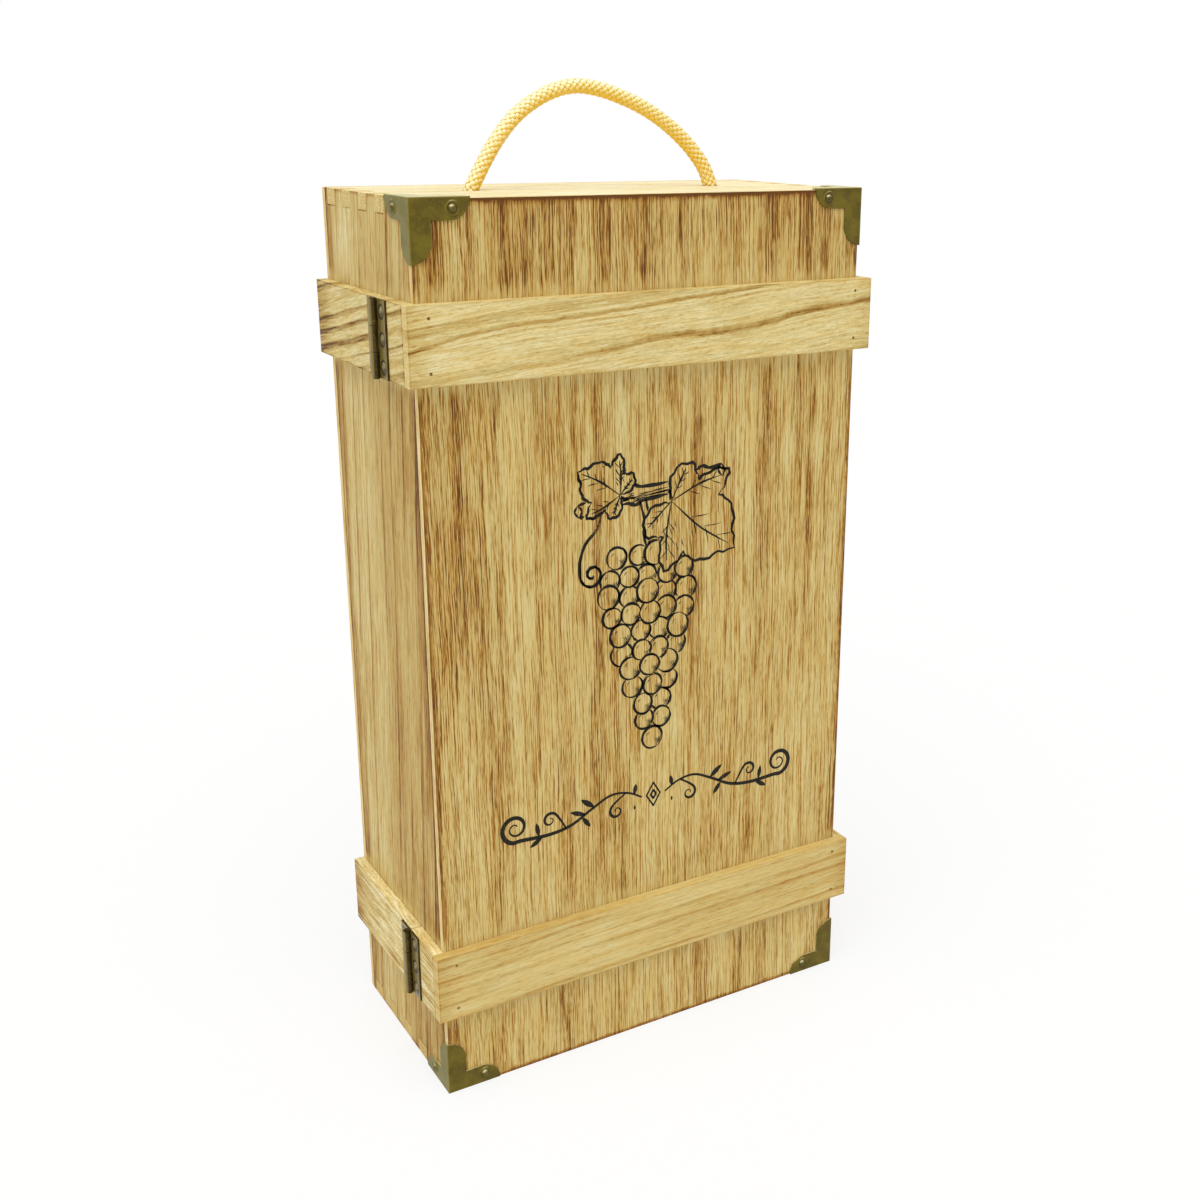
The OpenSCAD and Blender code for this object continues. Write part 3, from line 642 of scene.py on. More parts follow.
# %% Geometry group: long edges
tree = bpy.data.node_groups.new("long_edges", "GeometryNodeTree")
for way in ("INPUT", "OUTPUT"):
    tree.interface.new_socket("Geometry", in_out=way, socket_type="NodeSocketGeometry")
shape = Signal(tree.nodes.new("NodeGroupInput").outputs[0])
ends = tree.nodes.new("GeometryNodeInputMeshEdgeVertices").outputs
span = maths("DISTANCE", Signal(ends["Position 1"]), Signal(ends["Position 2"]))
turn = Signal(tree.nodes.new("GeometryNodeInputMeshEdgeAngle").outputs["Unsigned Angle"])
sharp = maths("GREATER_THAN", turn, math.radians(40))
marked = add("GeometryNodeStoreNamedAttribute", {
    "Geometry": shape, "Name": "bevel_weight_edge", "Value": maths("GREATER_THAN", span, 2 * MM) * sharp,
}, data_type="FLOAT", domain="EDGE")
plug(tree.nodes.new("NodeGroupOutput").inputs[0], Signal(marked.outputs[0]))
print("group long_edges:", len(tree.nodes), "nodes")


# %% Bevels
def ease(names, width, dissolve=False, segments=2):
    for name in names:
        piece = nodes[name]
        weld = piece.modifiers.new("weld", "WELD")
        weld.merge_threshold = 0.02 * MM
        if dissolve:
            whole = piece.modifiers.new("whole_faces", "DECIMATE")
            whole.decimate_type = "DISSOLVE"
            whole.angle_limit = math.radians(1)
        marks = piece.modifiers.new("long_edges", "NODES")
        marks.node_group = bpy.data.node_groups["long_edges"]
        bevel = piece.modifiers.new("bevel", "BEVEL")
        bevel.width = width * MM
        bevel.segments = segments
        bevel.limit_method = "WEIGHT"
        bevel.use_clamp_overlap = False
        normals = piece.modifiers.new("normals", "WEIGHTED_NORMAL")
        normals.keep_sharp = True


BOARDS = [name for row in BOARD_WOODS for name in row[1]]
BAND_NODES = [name for row in BANDS for name in row[1]]
ease(BOARDS, 0.12)
ease(("front_panel", "back_panel"), 0.2)
ease(BAND_NODES, 0.3, dissolve=True)
print("bevels on", len(BOARDS) + len(BAND_NODES) + 2, "boards")

# %% [markdown]
# ## Old brass and bronze
#
# The corners are stamped from lacquered sheet, an olive brass gone dull; hinges and latches are darker, with
# the colour of an old coin. Both are metals with a blotchy tone: cloudy patches and fine specks. Light is
# painted in as well. Each fold gets a lighter line, a painted highlight where a rounded edge would catch the
# light.
# The faces that turn up or to the sides, and the heads of nails and screws, get lighter tones as painted
# highlights.
# A dark band of painted shade goes round each nail of the corners and each screw of the hinges, where each
# would sit in a small dimple.

# %% Group: patina
out, vector, scale = new_group("patina", ("Clouds", "Specks", "Brushed"), Vector=None, Scale=160.0)
plug(out["Clouds"], ramp(noise(vector, scale, 4.0, 0.6), 0.32, 0.68))
plug(out["Specks"], ramp(noise(vector * (7.0, 7.0, 7.0), scale, 2.0, 0.6), 0.52, 0.70))
plug(out["Brushed"], noise(vector * (14.0, 14.0, 1.2), scale, 2.0, 0.6))

# %% Metals
NAIL_IN_X, NAIL_IN_Y, NAIL_IN_Z = 15.3 * MM, 14 * MM, 3.3 * MM
NAIL_PLACES = []
for side in (-1, 1):
    for height in (NAIL_IN_Z, CASE_Z - NAIL_IN_Z):
        NAIL_PLACES.append((side * (CASE_X - NAIL_IN_X), FRONT_Y, height))
        NAIL_PLACES.append((side * CASE_X, FRONT_Y + NAIL_IN_Y, height))
LEAF_X, LEAF_Y, SCREW_APART = -CASE_X - BAND_OUT - 0.8 * MM, -22.25 * MM, 9.8 * MM
SCREW_PLACES = []
for height in (BAND_LOW_Z + BAND_HIGH / 2, BAND_TOP_Z + BAND_HIGH / 2):
    for rise in (-SCREW_APART, 0.0, SCREW_APART):
        for way in (-5.4 * MM, 5.4 * MM):
            SCREW_PLACES.append((LEAF_X, LEAF_Y + way, height + rise))


def metal(name, tones, roughness, metallic, scale, rings=(), ring=(1.5, 2.4, 0.30), folds=None, lit_faces=()):
    """A dull metal in a dark, a middle and a light tone. ring is the inner and outer radius of a band of
    painted shade round each place in rings, and its strength; folds is a box whose edges get a painted
    highlight;
    rubbed lists directions, tones and shares, and faces turned that way are painted lighter as painted light."""
    dark, middle, light = tones
    material, shader, position, normal = start_material(name)
    clouds, specks, brushed = place("patina", Vector=position, Scale=scale)
    colour = mix(clouds, srgb(*dark), srgb(*middle))
    colour = mix(specks * 0.25, colour, srgb(*light))
    # Faces turned to each given direction take a lighter tone: a painted highlight.
    for direction, tone, share in lit_faces:
        colour = mix(facing(normal, direction) * share, colour, srgb(*tone))
    # A painted highlight along each fold, where a rounded edge would catch the light.
    if folds:
        [fold] = place("board_edges", Vector=position, Low=folds[0], High=folds[1], Reach=0.6 * MM)
        colour = mix(fold * 0.75, colour, srgb(*light))
    # A dark band of painted shade round each nail or screw, where the shade of a dimple would fall.
    if rings:
        near = maths("DISTANCE", position, rings[0])
        for spot in rings[1:]:
            near = maths("MINIMUM", near, maths("DISTANCE", position, spot))
        inner, outer, shade_strength = ring
        dimple_shade = ramp(near, inner * MM, (inner + 0.3) * MM)
        dimple_shade = dimple_shade * ramp(near, (outer - 0.4) * MM, outer * MM, 1.0, 0.0)
        colour = mix(dimple_shade * shade_strength, colour, srgb(*(c * 0.4 for c in dark)))
    coat(shader, colour, clouds * -0.12 + (roughness + 0.06), specks * -0.4 + brushed, 0.35, 0.04)
    shader.inputs["Metallic"].default_value = metallic
    return material


def both_sides(tone, share):
    return ((OUT_LEFT, tone, share), (OUT_RIGHT, tone, share))


SHEET = 0.7 * MM
# The box whose edges take the painted fold highlight.
folds = (tuple(c - SHEET for c in CASE_LOW), (CASE_X + SHEET, BACK_Y + 1, CASE_Z + SHEET))
COIN = ((44, 31, 2), (72, 56, 8))
CORNERS = [f"bracket_{v}_{s}" for v in ("top", "bottom") for s in ("left", "right")]
HINGES = [f"hinge_{w}_{p}" for w in ("upper", "lower") for p in ("body_leaf", "lid_leaf", "pin")]
LATCHES = [f"latch_{w}_{p}" for w in ("upper", "lower") for p in ("plate", "pin", "arm", "catch")]
# In each finish, a tone tied to a face direction is a painted highlight, and the bands round nails and screws
# are painted shade.
METALS = (
    (CORNERS, "old_brass_sheet", ((86, 72, 2), (108, 94, 8), (134, 119, 36)), 0.46, 0.5, 150.0,
     dict(rings=NAIL_PLACES, folds=folds,
          lit_faces=both_sides((124, 116, 42), 0.75) + ((OUT_UP, (214, 204, 148), 0.85),))),
    (["bracket_nails"], "nail_brass", ((72, 60, 14), (98, 86, 30), (156, 142, 84)), 0.30, 0.6, 400.0,
     dict(lit_faces=(((-0.25, -0.30, 0.92), (222, 210, 160), 0.45),))),
    ([n for n in HINGES if n.endswith("pin")], "old_bronze", COIN + ((148, 128, 62),), 0.32, 0.5, 260.0, {}),
    (LATCHES, "old_bronze_latches", ((56, 43, 8), (86, 71, 20), (154, 136, 74)), 0.34, 0.5, 260.0,
     dict(lit_faces=both_sides((140, 123, 54), 0.85))),
    ([n for n in HINGES if n.endswith("leaf")], "old_bronze_leaf", COIN + ((156, 138, 72),), 0.34, 0.5, 260.0,
     dict(rings=SCREW_PLACES, ring=(1.9, 3.0, 0.9), lit_faces=both_sides((140, 123, 54), 0.85))),
    (["hinge_body_screws", "hinge_lid_screws", "latch_lid_screws", "latch_body_screws"], "old_bronze_screws",
     ((54, 41, 6), (92, 77, 28), (196, 180, 124)), 0.28, 0.6, 700.0,
     dict(lit_faces=(((-0.70, -0.1, 0.70), (190, 174, 120), 0.40),))),
    (["band_brads"], "brad_steel_dark", ((124, 95, 52), (150, 119, 70), (178, 150, 98)), 0.5, 0.3, 500.0, {}),
)
for names, name, tones, roughness, metallic, scale, looks in METALS:
    dress(metal(name, tones, roughness, metallic, scale, **looks), *names)
    print(name + ":", len(names), "nodes")
ease(CORNERS, 0.25, dissolve=True, segments=3)

# %% [markdown]
# ## The rope handle
#
# The handle is a braided rope, six millimetres thick: six strands wind one way and six the other, each over
# one and under the next. A bump map can't give the beaded outline of a braid, so the strands are modelled.
# Each is a flattened tube that follows a helix round the rope's line and swings out and in by about a third
# of a millimetre as it crosses the others. The line is the model's route, made smooth.

# %% Route of the rope
HOLE_X = 52.5 * MM
UNDER_TOP = 344 * MM
ROPE_STEP = 0.5 * MM
ARCH = (
    (-50.5, 4), (-47, 10), (-42, 17.5), (-35, 25.5), (-27, 31.5), (-17.5, 36), (-8, 37.8),
    (1.5, 36.8), (11.5, 34), (22, 29.8), (32, 24), (41.5, 16.5), (49, 8),
)
ROUTE = [(-HOLE_X, 0, UNDER_TOP), (-HOLE_X, 0, CASE_Z)]
ROUTE += [(x * MM, 0, CASE_Z + z * MM) for x, z in ARCH]
ROUTE += [(HOLE_X, 0, CASE_Z), (HOLE_X, 0, UNDER_TOP)]


def spline(a, b, c, d, t):
    """A Catmull-Rom curve from b to c as t goes from 0 to 1."""
    return 0.5 * (2 * b + (c - a) * t + (2 * a - 5 * b + 4 * c - d) * t**2 + (3 * b - a - 3 * c + d) * t**3)


def smooth_line(points, step):
    """A curve through the points, cut into equal steps, and its length."""
    p = np.array(points, float)
    p = np.vstack([2 * p[0] - p[1], p, 2 * p[-1] - p[-2]])
    t = np.linspace(0, 1, 24, endpoint=False)[:, None]
    spans = [spline(a, b, c, d, t) for a, b, c, d in zip(p, p[1:], p[2:], p[3:])]
    line = np.vstack(spans + [p[-2:-1]])
    along = np.concatenate([[0], np.cumsum(np.linalg.norm(np.diff(line, axis=0), axis=1))])
    at = np.linspace(0, along[-1], int(along[-1] / step) + 1)
    return np.stack([np.interp(at, along, line[:, k]) for k in range(3)], axis=1), along[-1]


rope_line, rope_length = smooth_line(ROUTE, ROPE_STEP)
print("rope:", round(rope_length * 1000, 1), "mm in", len(rope_line), "points")

# %% Braid
STRANDS = 6
LEAD = 16 * MM
SWING = 0.32 * MM
STRAND_AT = 2.18 * MM
STRAND_WIDE, STRAND_THICK = 0.92 * MM, 0.53 * MM
STRAND_SIDES = 6
CORE_RADIUS, CORE_SIDES = 2.05 * MM, 10


def unit(vectors):
    """The same directions, one unit long."""
    return vectors / np.linalg.norm(vectors, axis=-1)[..., None]


def frames_along(line):
    """Two axes across the line at each of its points, carried along without twist."""
    ahead = unit(np.gradient(line, axis=0))
    side = np.cross(ahead[0], (0.0, 1.0, 0.0))
    sides = []
    for direction in ahead:
        side = unit(side - direction * side.dot(direction))
        sides.append(side)
    return np.array(sides), np.cross(ahead, sides)


def braid(line, length):
    """Points, faces and a fibre coordinate for the strands round a core."""
    first, second = frames_along(line)
    along = np.linspace(0, length, len(line))
    points, faces, fibre = [], [], []

    def tube(middle, aside, proud, wide, thick, sides, along):
        start, rings = len(points), len(middle)
        for i in range(rings):
            for turn in np.linspace(0, 2 * math.pi, sides, endpoint=False):
                cosine, sine = math.cos(turn), math.sin(turn)
                points.append(middle[i] + wide * cosine * aside[i] + thick * sine * proud[i])
                fibre.append((along[i], cosine, sine))
        for row in range(start, start + (rings - 1) * sides, sides):
            for k in range(sides):
                a, b = row + k, row + (k + 1) % sides
                faces.append((a, b, b + sides, a + sides))
        faces.append(tuple(range(start + sides - 1, start - 1, -1)))
        faces.append(tuple(range(start + (rings - 1) * sides, start + rings * sides)))

    for way in (1, -1):
        for strand in range(STRANDS):
            angle = way * 2 * math.pi * along / LEAD + 2 * math.pi * strand / STRANDS
            radius = STRAND_AT + way * SWING * np.cos(math.pi * 2 * STRANDS * along / LEAD)
            outward = np.cos(angle)[:, None] * first + np.sin(angle)[:, None] * second
            middle = line + radius[:, None] * outward
            run = unit(np.gradient(middle, axis=0))
            flat = unit(np.cross(run, outward))
            proud = np.cross(flat, run)
            tube(middle, flat, proud, STRAND_WIDE, STRAND_THICK, STRAND_SIDES, along + 0.37 * strand)
    thin = list(range(0, len(line) - 1, 3)) + [len(line) - 1]
    tube(line[thin], first[thin], second[thin], CORE_RADIUS, CORE_RADIUS, CORE_SIDES, along[thin])
    return points, faces, fibre


def new_piece(name, points, faces, material, smooth=True):
    mesh = bpy.data.meshes.new(name)
    mesh.from_pydata([tuple(map(float, p)) for p in points], [], faces)
    mesh.polygons.foreach_set("use_smooth", [smooth] * len(mesh.polygons))
    mesh.materials.append(material)
    mesh.update()
    piece = bpy.data.objects.new(name, mesh)
    bpy.context.scene.collection.objects.link(piece)
    return piece


def braided(name, line, length, material):
    points, faces, fibre = braid(line, length)
    piece = new_piece(name, points, faces, material)
    layer = piece.data.attributes.new("fibre", "FLOAT_VECTOR", "POINT")
    layer.data.foreach_set("vector", np.array(fibre, float).ravel())
    print(name + ":", len(piece.data.polygons), "faces")
    return piece


# %% [markdown]
# Each strand is a bundle of glossy filaments. The mesh carries the way along the strand and round it, and a
# noise that is long one way and short the other draws the filaments. The yarn is golden yellow. Its upper
# side, turned to the overhead sun, is painted nearly white as a painted highlight. The inner side of each
# strand, in the gaps, is painted a deeper gold as painted shade. The shader adds a little sheen.

# %% Rope material
rope_yarn, shader, position, normal = start_material("rope_yarn")
attribute = rope_yarn.node_tree.nodes.new("ShaderNodeAttribute")
attribute.attribute_name = "fibre"
thread = Signal(attribute.outputs["Vector"])
filament = noise(thread * (350.0, 7.0, 7.0))
# The side that faces the overhead sun is painted nearly white: a painted highlight.
above = ramp(maths("DOT_PRODUCT", normal, (-0.40, -0.30, 0.87)), -0.1, 1.0)
colour = mix(above, srgb(243, 196, 26), srgb(254, 253, 222))
colour = mix(ramp(filament, 0.35, 0.65, 0.0, 0.35), colour, srgb(246, 210, 66))
colour = mix(ramp(noise(position, 90.0), 0.35, 0.7, 0.0, 0.15), colour, srgb(252, 242, 176))
# The inner side of each strand, in the gaps between strands, is painted a deeper gold: painted shade.
colour = mix(ramp(split(thread)[2], -0.2, 0.9), srgb(228, 186, 44), colour)
coat(shader, colour, ramp(filament, 0.3, 0.7, 0.34, 0.50), filament, 0.5, 0.08)
shader.inputs["Sheen Weight"].default_value = 0.25
shader.inputs["Sheen Roughness"].default_value = 0.4
rope = braided("rope_handle", rope_line, rope_length, rope_yarn)
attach(rope, "box")
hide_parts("rope")
print("rope material:", rope_yarn.name)

# %% [markdown]
# Under the top board each end is tied in an overhand knot, which can't slip back through its hole. The end
# comes down, turns up, goes once round the standing part and leaves down through its own loop. The braid
# function takes any line, so the knot needs only the route.

# %% Stopper knots
KNOT_ROUTE = (
    (0, 0, 0), (0, 0, -3), (0.2, 0, -7), (1.6, -0.6, -11), (5.2, -0.6, -13), (7.4, 1.6, -10.5),
    (6.0, 5.0, -7.5), (0.6, 7.0, -5.6), (-5.2, 4.8, -4.8), (-7.2, -0.8, -4.6), (-4.6, -5.8, -5.2),
    (0.8, -7.2, -7.2), (4.4, -5.6, -10.5), (4.6, -3.6, -15), (3.4, -2.2, -18.5),
)
for side, label in ((-1, "left"), (1, "right")):
    route = [(side * HOLE_X - side * x * MM, y * MM, UNDER_TOP + z * MM) for x, y, z in KNOT_ROUTE]
    line, length = smooth_line(route, ROPE_STEP)
    knot = braided("rope_end_" + label, line, length, rope_yarn)
    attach(knot, "box")
    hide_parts("rope_knot_" + label)

# %% [markdown]
# ## The ink print
#
# The front carries a print in dark ink. Here it is a vine sketch of the maker's own: a bunch of grapes on a
# piece of cane, with two leaves and a tendril, over an ornamental rule. Ink has next to no thickness, but a
# print drawn in the panel's material would blur where the camera is close. So every stroke is a flat ribbon
# of mesh, some hundredths of a millimetre proud of the wood, with the swelling and thinning of a pen.

# %% Pen strokes
pen = random.Random(7)
strokes = []


def between(start, end, share):
    """The point that lies a share of the way from start to end."""
    return start[0] + (end[0] - start[0]) * share, start[1] + (end[1] - start[1]) * share


def curve_through(points, per_span):
    p = [points[0]] + list(points) + [points[-1]]
    line = []
    for spot in zip(p, p[1:], p[2:], p[3:]):
        for k in range(per_span):
            line.append(tuple(spline(*pair, k / per_span) for pair in zip(*spot)))
    return line + [tuple(points[-1])]


def stroke(line, width, taper=0.25, shake=0.0):
    """A line drawn with the pen; it starts and ends thin. All in millimetres on the panel."""
    last = len(line) - 1
    inked = []
    for i, (x, z) in enumerate(line):
        near_end = min(i, last - i) / max(1.0, taper * last)
        press = 0.25 + 0.75 * min(1.0, near_end)
        press *= 1 + 0.18 * math.sin(0.9 * i + len(strokes))
        inked.append((x + pen.uniform(-shake, shake), z + pen.uniform(-shake, shake), 0.78 * width * press))
    strokes.append(inked)


def inside(point, polygon):
    """Whether the point lies in the polygon: a ray from it crosses the outline an odd number of times."""
    x, z = point
    odd = False
    for (x1, z1), (x2, z2) in zip(polygon, polygon[1:] + polygon[:1]):
        if (z1 > z) != (z2 > z) and x < (x2 - x1) * (z - z1) / (z2 - z1) + x1:
            odd = not odd
    return odd


def draw_visible(line, hidden, width, taper=0.25, shake=0.0):
    """The parts of a line that nothing nearer hides."""
    run = []
    for point in list(line) + [None]:
        if point is not None and not hidden(point):
            run.append(point)
            continue
        if len(run) > 2:
            stroke(run, width, taper, shake)
        run = []


# %% Leaves of the vine
HALF_LEAF = (
    (0.03, 0.02), (0.14, -0.12), (0.32, -0.15), (0.47, -0.02), (0.40, 0.10), (0.36, 0.17), (0.55, 0.26),
    (0.66, 0.42), (0.52, 0.47), (0.36, 0.49), (0.38, 0.63), (0.30, 0.78), (0.14, 0.88), (0.0, 1.04),
)
LEAF_VEINS = ((0.0, 1.0), (0.58, 0.40), (-0.58, 0.40), (0.40, -0.05), (-0.40, -0.05))


def leaf(foot, size, turn):
    """A five-lobed leaf with toothed rim; foot is where its stalk joins. Returns its outline."""
    def put(x, y):
        return (foot[0] + size * (x * math.cos(turn) - y * math.sin(turn)),
                foot[1] + size * (x * math.sin(turn) + y * math.cos(turn)))

    half = []
    for (x1, y1), (x2, y2) in zip(HALF_LEAF, HALF_LEAF[1:]):
        span = math.hypot(y2 - y1, x1 - x2)
        for k in range(3):
            x, y = between((x1, y1), (x2, y2), k / 3)
            tooth = 0.022 if k == 1 else 0.0
            half.append((x + tooth * (y2 - y1) / span, y + tooth * -(x2 - x1) / span))
    half.append(HALF_LEAF[-1])
    rim = [put(x, y) for x, y in half] + [put(-x, y) for x, y in reversed(half[:-1])]
    for part in range(0, len(rim) - 1, 13):
        stroke(rim[part:part + 14], 0.75, 0.15, 0.08)
    for part in range(4, len(rim) - 8, 17):
        stroke([(x + 0.35, z - 0.3) for x, z in rim[part:part + 9]], 0.35, 0.4, 0.1)
    for tip_x, tip_y in LEAF_VEINS:
        bow = 0.04 if tip_x >= 0 else -0.04
        vein_points = [put(0, 0.02), put(tip_x * 0.5 + bow, tip_y * 0.5), put(tip_x * 0.94, tip_y * 0.94)]
        stroke(curve_through(vein_points, 8), 0.6, 0.5, 0.05)
        for t in (0.35, 0.55, 0.75):
            for hand in (-1, 1):
                x, y = tip_x * t, tip_y * t
                end_x = tip_x * (t + 0.16) - hand * tip_y * 0.13
                end_y = tip_y * (t + 0.16) + hand * tip_x * 0.13
                twig = [put(x, y), put((x + end_x) / 2, (y + end_y) / 2 + 0.01), put(end_x, end_y)]
                stroke(curve_through(twig, 3), 0.32, 0.6, 0.04)
    for k in range(9):
        x, y = pen.uniform(0.06, 0.40), pen.uniform(0.05, 0.60)
        stroke([put(x, y), put(x + 0.03, y + 0.035), put(x + 0.06, y + 0.08)], 0.25, 0.5)
    return rim


big_leaf = leaf((7.5, 233.5), 37, math.radians(-128))
small_leaf = leaf((-14.5, 238.0), 21, math.radians(58))
print("leaves:", len(strokes), "strokes")

# %% [markdown]
# The bunch is drawn like a pile: every grape is a circle, nearer ones hide those behind, and each gets a
# second loose line, a highlight and a few hatches on its shaded side.

# %% Grapes
ROWS = (4, 5, 5, 5, 4, 4, 3, 3, 2, 2, 1)
grapes = []
for row, count in enumerate(ROWS):
    lean = -3.0 + 0.25 * row
    for k in range(count):
        x = lean + (k - (count - 1) / 2) * 8.5 + pen.uniform(-0.8, 0.8)
        z = 212.5 - 7.7 * row + pen.uniform(-0.9, 0.9)
        grapes.append((x, z, pen.uniform(4.2, 5.0), pen.random() + 0.8 - 0.05 * abs(x - lean)))
grapes.sort(key=lambda g: -g[3])
for order, (x, z, size, _) in enumerate(grapes):
    nearer = grapes[:order]

    def hidden(point):
        if inside(point, big_leaf):
            return True
        return any(math.hypot(point[0] - gx, point[1] - gz) < gs - 0.12 for gx, gz, gs, _ in nearer)

    def arc(wide, high, angles, aside=0.0, down=0.0):
        return [(x + aside + wide * math.cos(a), z - down + high * math.sin(a)) for a in angles]

    start = pen.uniform(0, 6.28)
    oval = pen.uniform(0.94, 1.06)
    draw_visible(arc(size, oval * size, [start + 0.21 * k for k in range(32)]), hidden, 0.62, 0.2, 0.06)
    loose = [start + 1.2 + 0.25 * k for k in range(14)]
    draw_visible(arc(size - 0.25, size - 0.15, loose, 0.25, 0.2), hidden, 0.36, 0.4, 0.08)
    for k in range(4):
        deep = size * (0.86 - 0.15 * k)
        hatch = arc(deep, deep, np.linspace(-1.25 + 0.12 * k, 0.05 - 0.14 * k, 7))
        draw_visible(hatch, hidden, 0.42 - 0.06 * k, 0.6, 0.05)
    draw_visible(arc(size * 0.55, size * 0.55, np.linspace(2.0, 2.8, 5)), hidden, 0.28, 0.6)
print("grapes:", len(grapes))

# %% Cane and tendril
def off_leaf(point):
    return inside(point, big_leaf) or inside(point, small_leaf)


cane_top = curve_through([
    (-33, 236.5), (-22, 238.5), (-13, 239.8), (-9, 241.6), (-5, 240.6), (8, 241.2), (18, 243.6), (22, 245.6),
    (26, 244.4), (31, 245.6),
], 8)
cane_low = curve_through([
    (-32.6, 231.5), (-21, 233.4), (-12, 234.6), (-8, 233.6), (-4, 235.2), (8, 236.2), (17, 238.0),
    (21, 237.6), (25, 239.4), (31.6, 240.4),
], 8)
draw_visible(cane_top, off_leaf, 0.9, 0.1, 0.1)
draw_visible(cane_low, off_leaf, 1.0, 0.1, 0.1)
for a, b in zip((cane_top[0], cane_top[-1]), (cane_low[0], cane_low[-1])):
    for bow in (-1.6, 1.4):
        stroke(curve_through([a, ((a[0] + b[0]) / 2 + bow, (a[1] + b[1]) / 2), b], 8), 0.6, 0.3, 0.05)
for k in range(46):
    i = pen.randrange(2, len(cane_low) - 14)
    share = pen.uniform(0.12, 0.6)
    rows = range(i, i + pen.randrange(6, 14))
    run = [between(cane_low[j], cane_top[min(j, len(cane_top) - 1)], share) for j in rows]
    draw_visible(run, off_leaf, 0.34, 0.5, 0.08)
for stalk in (
    [(-6.2, 235.0), (-4.4, 228.0), (-4.6, 222.0), (-3.4, 216.5)],
    [(-3.6, 235.4), (-2.2, 228.4), (-2.6, 222.0), (-1.8, 216.8)],
):
    draw_visible(curve_through(stalk, 7), off_leaf, 0.7, 0.2, 0.08)
stroke(curve_through([(6.6, 238.0), (7.6, 236.0), (7.5, 233.5)], 6), 0.9, 0.3)
stroke(curve_through([(-11.0, 236.4), (-13.0, 236.4), (-14.5, 238.0)], 6), 0.8, 0.3)
tendril = [(-23.0, 232.5), (-25.0, 226.5), (-30.2, 221.0), (-32.6, 214.5)]
for k in range(22):
    angle = 3.14 + 0.42 * k
    tendril.append((-27.4 + (5.2 - 0.21 * k) * math.cos(angle), 208.4 + (5.6 - 0.23 * k) * math.sin(angle)))
for nudge in (0.0, 0.45):
    stroke(curve_through([(x + nudge, z - nudge) for x, z in tendril], 4), 0.7 - nudge * 0.6, 0.12, 0.05)
print("vine:", len(strokes), "strokes")

# %% [markdown]
# A ribbon needs a body, or the mesh would be an open sheet. Each stroke becomes a flat closed strip: its
# upper face a little in front of the wood, its lower one just inside it.

# %% Ribbons
INK_PROUD, INK_SUNK = 0.05 * MM, 0.03 * MM


def print_piece(name, lines, material):
    points, faces = [], []
    for line in lines:
        start, last = len(points), len(line) - 1
        for i, (x, z, half) in enumerate(line):
            before, after = line[max(0, i - 1)], line[min(last, i + 1)]
            dx, dz = after[0] - before[0], after[1] - before[1]
            size = math.hypot(dx, dz) or 1.0
            nx, nz = -dz / size * half, dx / size * half
            for y in (FRONT_Y - INK_PROUD, FRONT_Y + INK_SUNK):
                points += [((x + nx) * MM, y, (z + nz) * MM), ((x - nx) * MM, y, (z - nz) * MM)]
        for i in range(last):
            a = start + 4 * i
            b = a + 4
            faces += [(a, b, b + 1, a + 1), (a + 2, a + 3, b + 3, b + 2)]
            faces += [(a, a + 2, b + 2, b), (a + 1, b + 1, b + 3, a + 3)]
        end = start + 4 * last
        faces += [(start, start + 1, start + 3, start + 2), (end, end + 2, end + 3, end + 1)]
    piece = new_piece(name, points, faces, material, smooth=False)
    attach(piece, "lid")
    print(name + ":", len(lines), "strokes,", len(faces), "faces")


ink, shader, position, normal = start_material("print_ink")
worn = noise(position, 1500.0, 3.0, 0.65)
patchy = noise(position * (900.0, 900.0, 70.0))
colour = mix(ramp(worn, 0.45, 0.75), srgb(17, 14, 4), srgb(38, 32, 14))
colour = mix(ramp(patchy, 0.60, 0.78, 0.0, 0.4), colour, srgb(104, 80, 42))
coat(shader, colour, ramp(worn, 0.3, 0.7, 0.5, 0.7), patchy, 0.3, 0.03)
shader.inputs["Specular IOR Level"].default_value = 0.25
print_piece("print_vine", strokes, ink)

# %% [markdown]
# The rule below the vine is symmetrical, as a printer's ornament is: a lozenge, two long S-curves that swell
# in the middle, leaves along them and a curl at each end. One half is drawn and mirrored.

# %% Ornamental rule
RULE_Z = 109.0
strokes = []


def both(line):
    """The stroke on the right and its mirror image on the left."""
    strokes.append([(x, RULE_Z + z, half) for x, z, half in line])
    strokes.append([(-x, RULE_Z + z, half) for x, z, half in reversed(line)])


def swelling(points, thin, thick, peak):
    """A stroke that is thin at its ends and thick at peak, a share of its length."""
    line = curve_through(points, 8)
    last = len(line) - 1
    made = []
    for i, (x, z) in enumerate(line):
        t = i / last
        swell = math.exp(-(((t - peak) / 0.30) ** 2))
        made.append((x, z, 0.5 * (thin + (thick - thin) * swell)))
    return made


def curl(centre, first, turns, start, hand):
    """Points of a spiral that closes towards its centre."""
    steps = int(10 * turns)
    line = []
    for k in range(steps + 1):
        radius, angle = first * (1 - 0.82 * k / steps), start + hand * 0.63 * k
        line.append((centre[0] + radius * math.cos(angle), centre[1] + radius * math.sin(angle)))
    return line


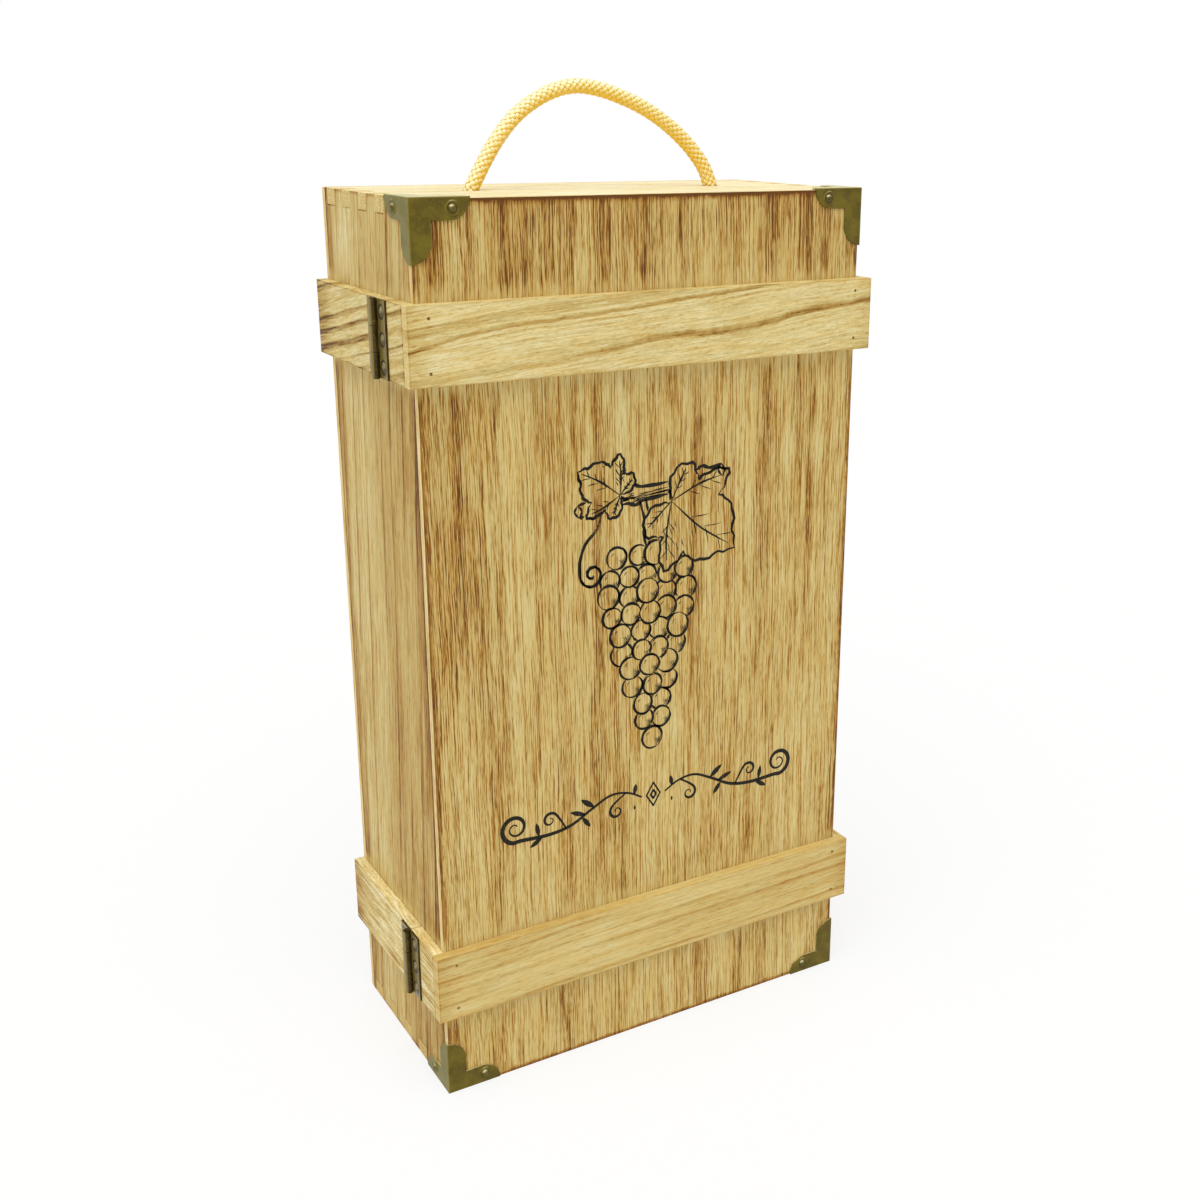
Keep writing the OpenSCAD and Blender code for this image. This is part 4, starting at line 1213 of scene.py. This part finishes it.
both(swelling([(5.5, 0.0), (12, 3.4), (20, 4.2), (29, 0.2), (38, -4.4), (48, -6.0)]
              + curl((62.6, 0.4), 6.4, 1.7, 4.3, 1), 0.5, 1.9, 0.38))
both(swelling([(13, 3.6), (16.6, 1.4)] + curl((17.3, -3.4), 3.3, 1.25, 0.96, -1), 0.4, 1.3, 0.3))
both(swelling([(40.4, -5.0), (42.2, -1.8)] + curl((47.4, 0.2), 3.3, 1.25, 2.62, -1), 0.4, 1.3, 0.3))
for start, end, wide in (
    ((27.5, 1.0), (33.5, 5.6), 2.3), ((31.5, -1.4), (38.4, 1.2), 2.0), ((33.0, -2.4), (29.4, -7.2), 2.0),
    ((51.0, -6.4), (56.4, -9.6), 2.0), ((52.4, -5.6), (53.4, 0.4), 1.9), ((9.0, 1.8), (8.2, 6.6), 1.8),
):
    both([between(start, end, t) + (0.03 + 0.5 * wide * math.sin(math.pi * t) ** 0.8,)
          for t in (k / 12 for k in range(13))])
both([(8.4 + 0.9 * t, -4.0, 0.02 + 0.9 * math.sqrt(max(0.0, 1 - (2 * t - 1) ** 2)))
      for t in np.linspace(0, 1, 9)])
for size, wide in ((5.2, 0.75), (2.0, 0.9)):
    corners = [(0, size), (size * 0.62, 0), (0, -size), (-size * 0.62, 0), (0, size)]
    for a, b in zip(corners, corners[1:]):
        sides = [between(a, b, t) for t in np.linspace(-0.04, 1.04, 5)]
        strokes.append([(x, RULE_Z + z, 0.5 * wide) for x, z in sides])
print_piece("print_rule", strokes, ink)

# %% [markdown]
# ## Studio
#
# The box stands on a plain white floor under soft light. The white world gives half of it, and two suns the
# rest: one overhead, a little to the left and front, which makes the top and the upper edges of the bands the
# brightest, and a weak one low at the front left. Both are as wide as an overcast sky, so their shadows are
# soft. The floor looks nearly white to the camera, to shine and to glass, yet it is still a lit surface, so
# the box keeps its shadow.

# %% Floor and world
def seen_directly(tree):
    """1 for rays from the camera, from a glossy surface or through glass."""
    rays = tree.nodes.new("ShaderNodeLightPath").outputs
    camera_ray, glossy_ray, glass_ray = [
        Signal(rays[f"Is {kind} Ray"]) for kind in ("Camera", "Glossy", "Transmission")]
    return maths("MAXIMUM", maths("MAXIMUM", camera_ray, glossy_ray), glass_ray)


def shine(tree, kind, colour, strength):
    made = tree.nodes.new(kind)
    plug(made.inputs["Color"], colour)
    plug(made.inputs["Strength"], strength)
    return Signal(made.outputs[0])


WHITE = (1.0, 1.0, 1.0, 1.0)
floor_material, shader, position, normal = start_material("studio_floor")
tree = floor_material.node_tree
paper = mix(noise(position, 400.0), (0.88, 0.89, 0.91, 1.0), (0.91, 0.92, 0.94, 1.0))
plug(shader.inputs["Base Color"], paper)
shader.inputs["Roughness"].default_value = 0.9
shader.inputs["Specular IOR Level"].default_value = 0.1
glow = shine(tree, "ShaderNodeEmission", WHITE, 1.0)
blend = add("ShaderNodeMixShader", {0: seen_directly(tree) * 0.75, 1: Signal(shader.outputs[0]), 2: glow})
plug(tree.nodes["Material Output"].inputs[0], Signal(blend.outputs[0]))
FLOOR_HALF = 6.0
corners = [(x * FLOOR_HALF, y * FLOOR_HALF, 0) for x, y in ((-1, -1), (1, -1), (1, 1), (-1, 1))]
floor = new_piece("studio_floor", corners, [(0, 1, 2, 3)], floor_material, smooth=False)

world = bpy.data.worlds.new("studio_world")
bpy.context.scene.world = world
world.use_nodes = True
tree = world.node_tree
tree.nodes.clear()
fill = shine(tree, "ShaderNodeBackground", (1.0, 0.99, 0.96, 1.0), 0.50)
white = shine(tree, "ShaderNodeBackground", WHITE, 1.0)
blend = add("ShaderNodeMixShader", {0: seen_directly(tree), 1: fill, 2: white})
plug(tree.nodes.new("ShaderNodeOutputWorld").inputs[0], Signal(blend.outputs[0]))
print("floor and world ready")

# %% Suns
def sun(name, towards, strength, colour):
    lamp = bpy.data.lights.new(name, "SUN")
    lamp.angle = math.radians(60)
    lamp.energy = strength
    lamp.color = colour
    holder = bpy.data.objects.new(name, lamp)
    bpy.context.scene.collection.objects.link(holder)
    holder.rotation_euler = Vector(towards).to_track_quat("Z", "Y").to_euler()
    print(name + ":", strength)


sun("sun_overhead", (-0.25, -0.35, 1.0), 2.04, (1.0, 0.985, 0.95))
sun("sun_front", (-0.68, -0.69, 0.24), 0.34, (1.0, 0.985, 0.95))
bpy.context.scene.view_settings.view_transform = "Standard"
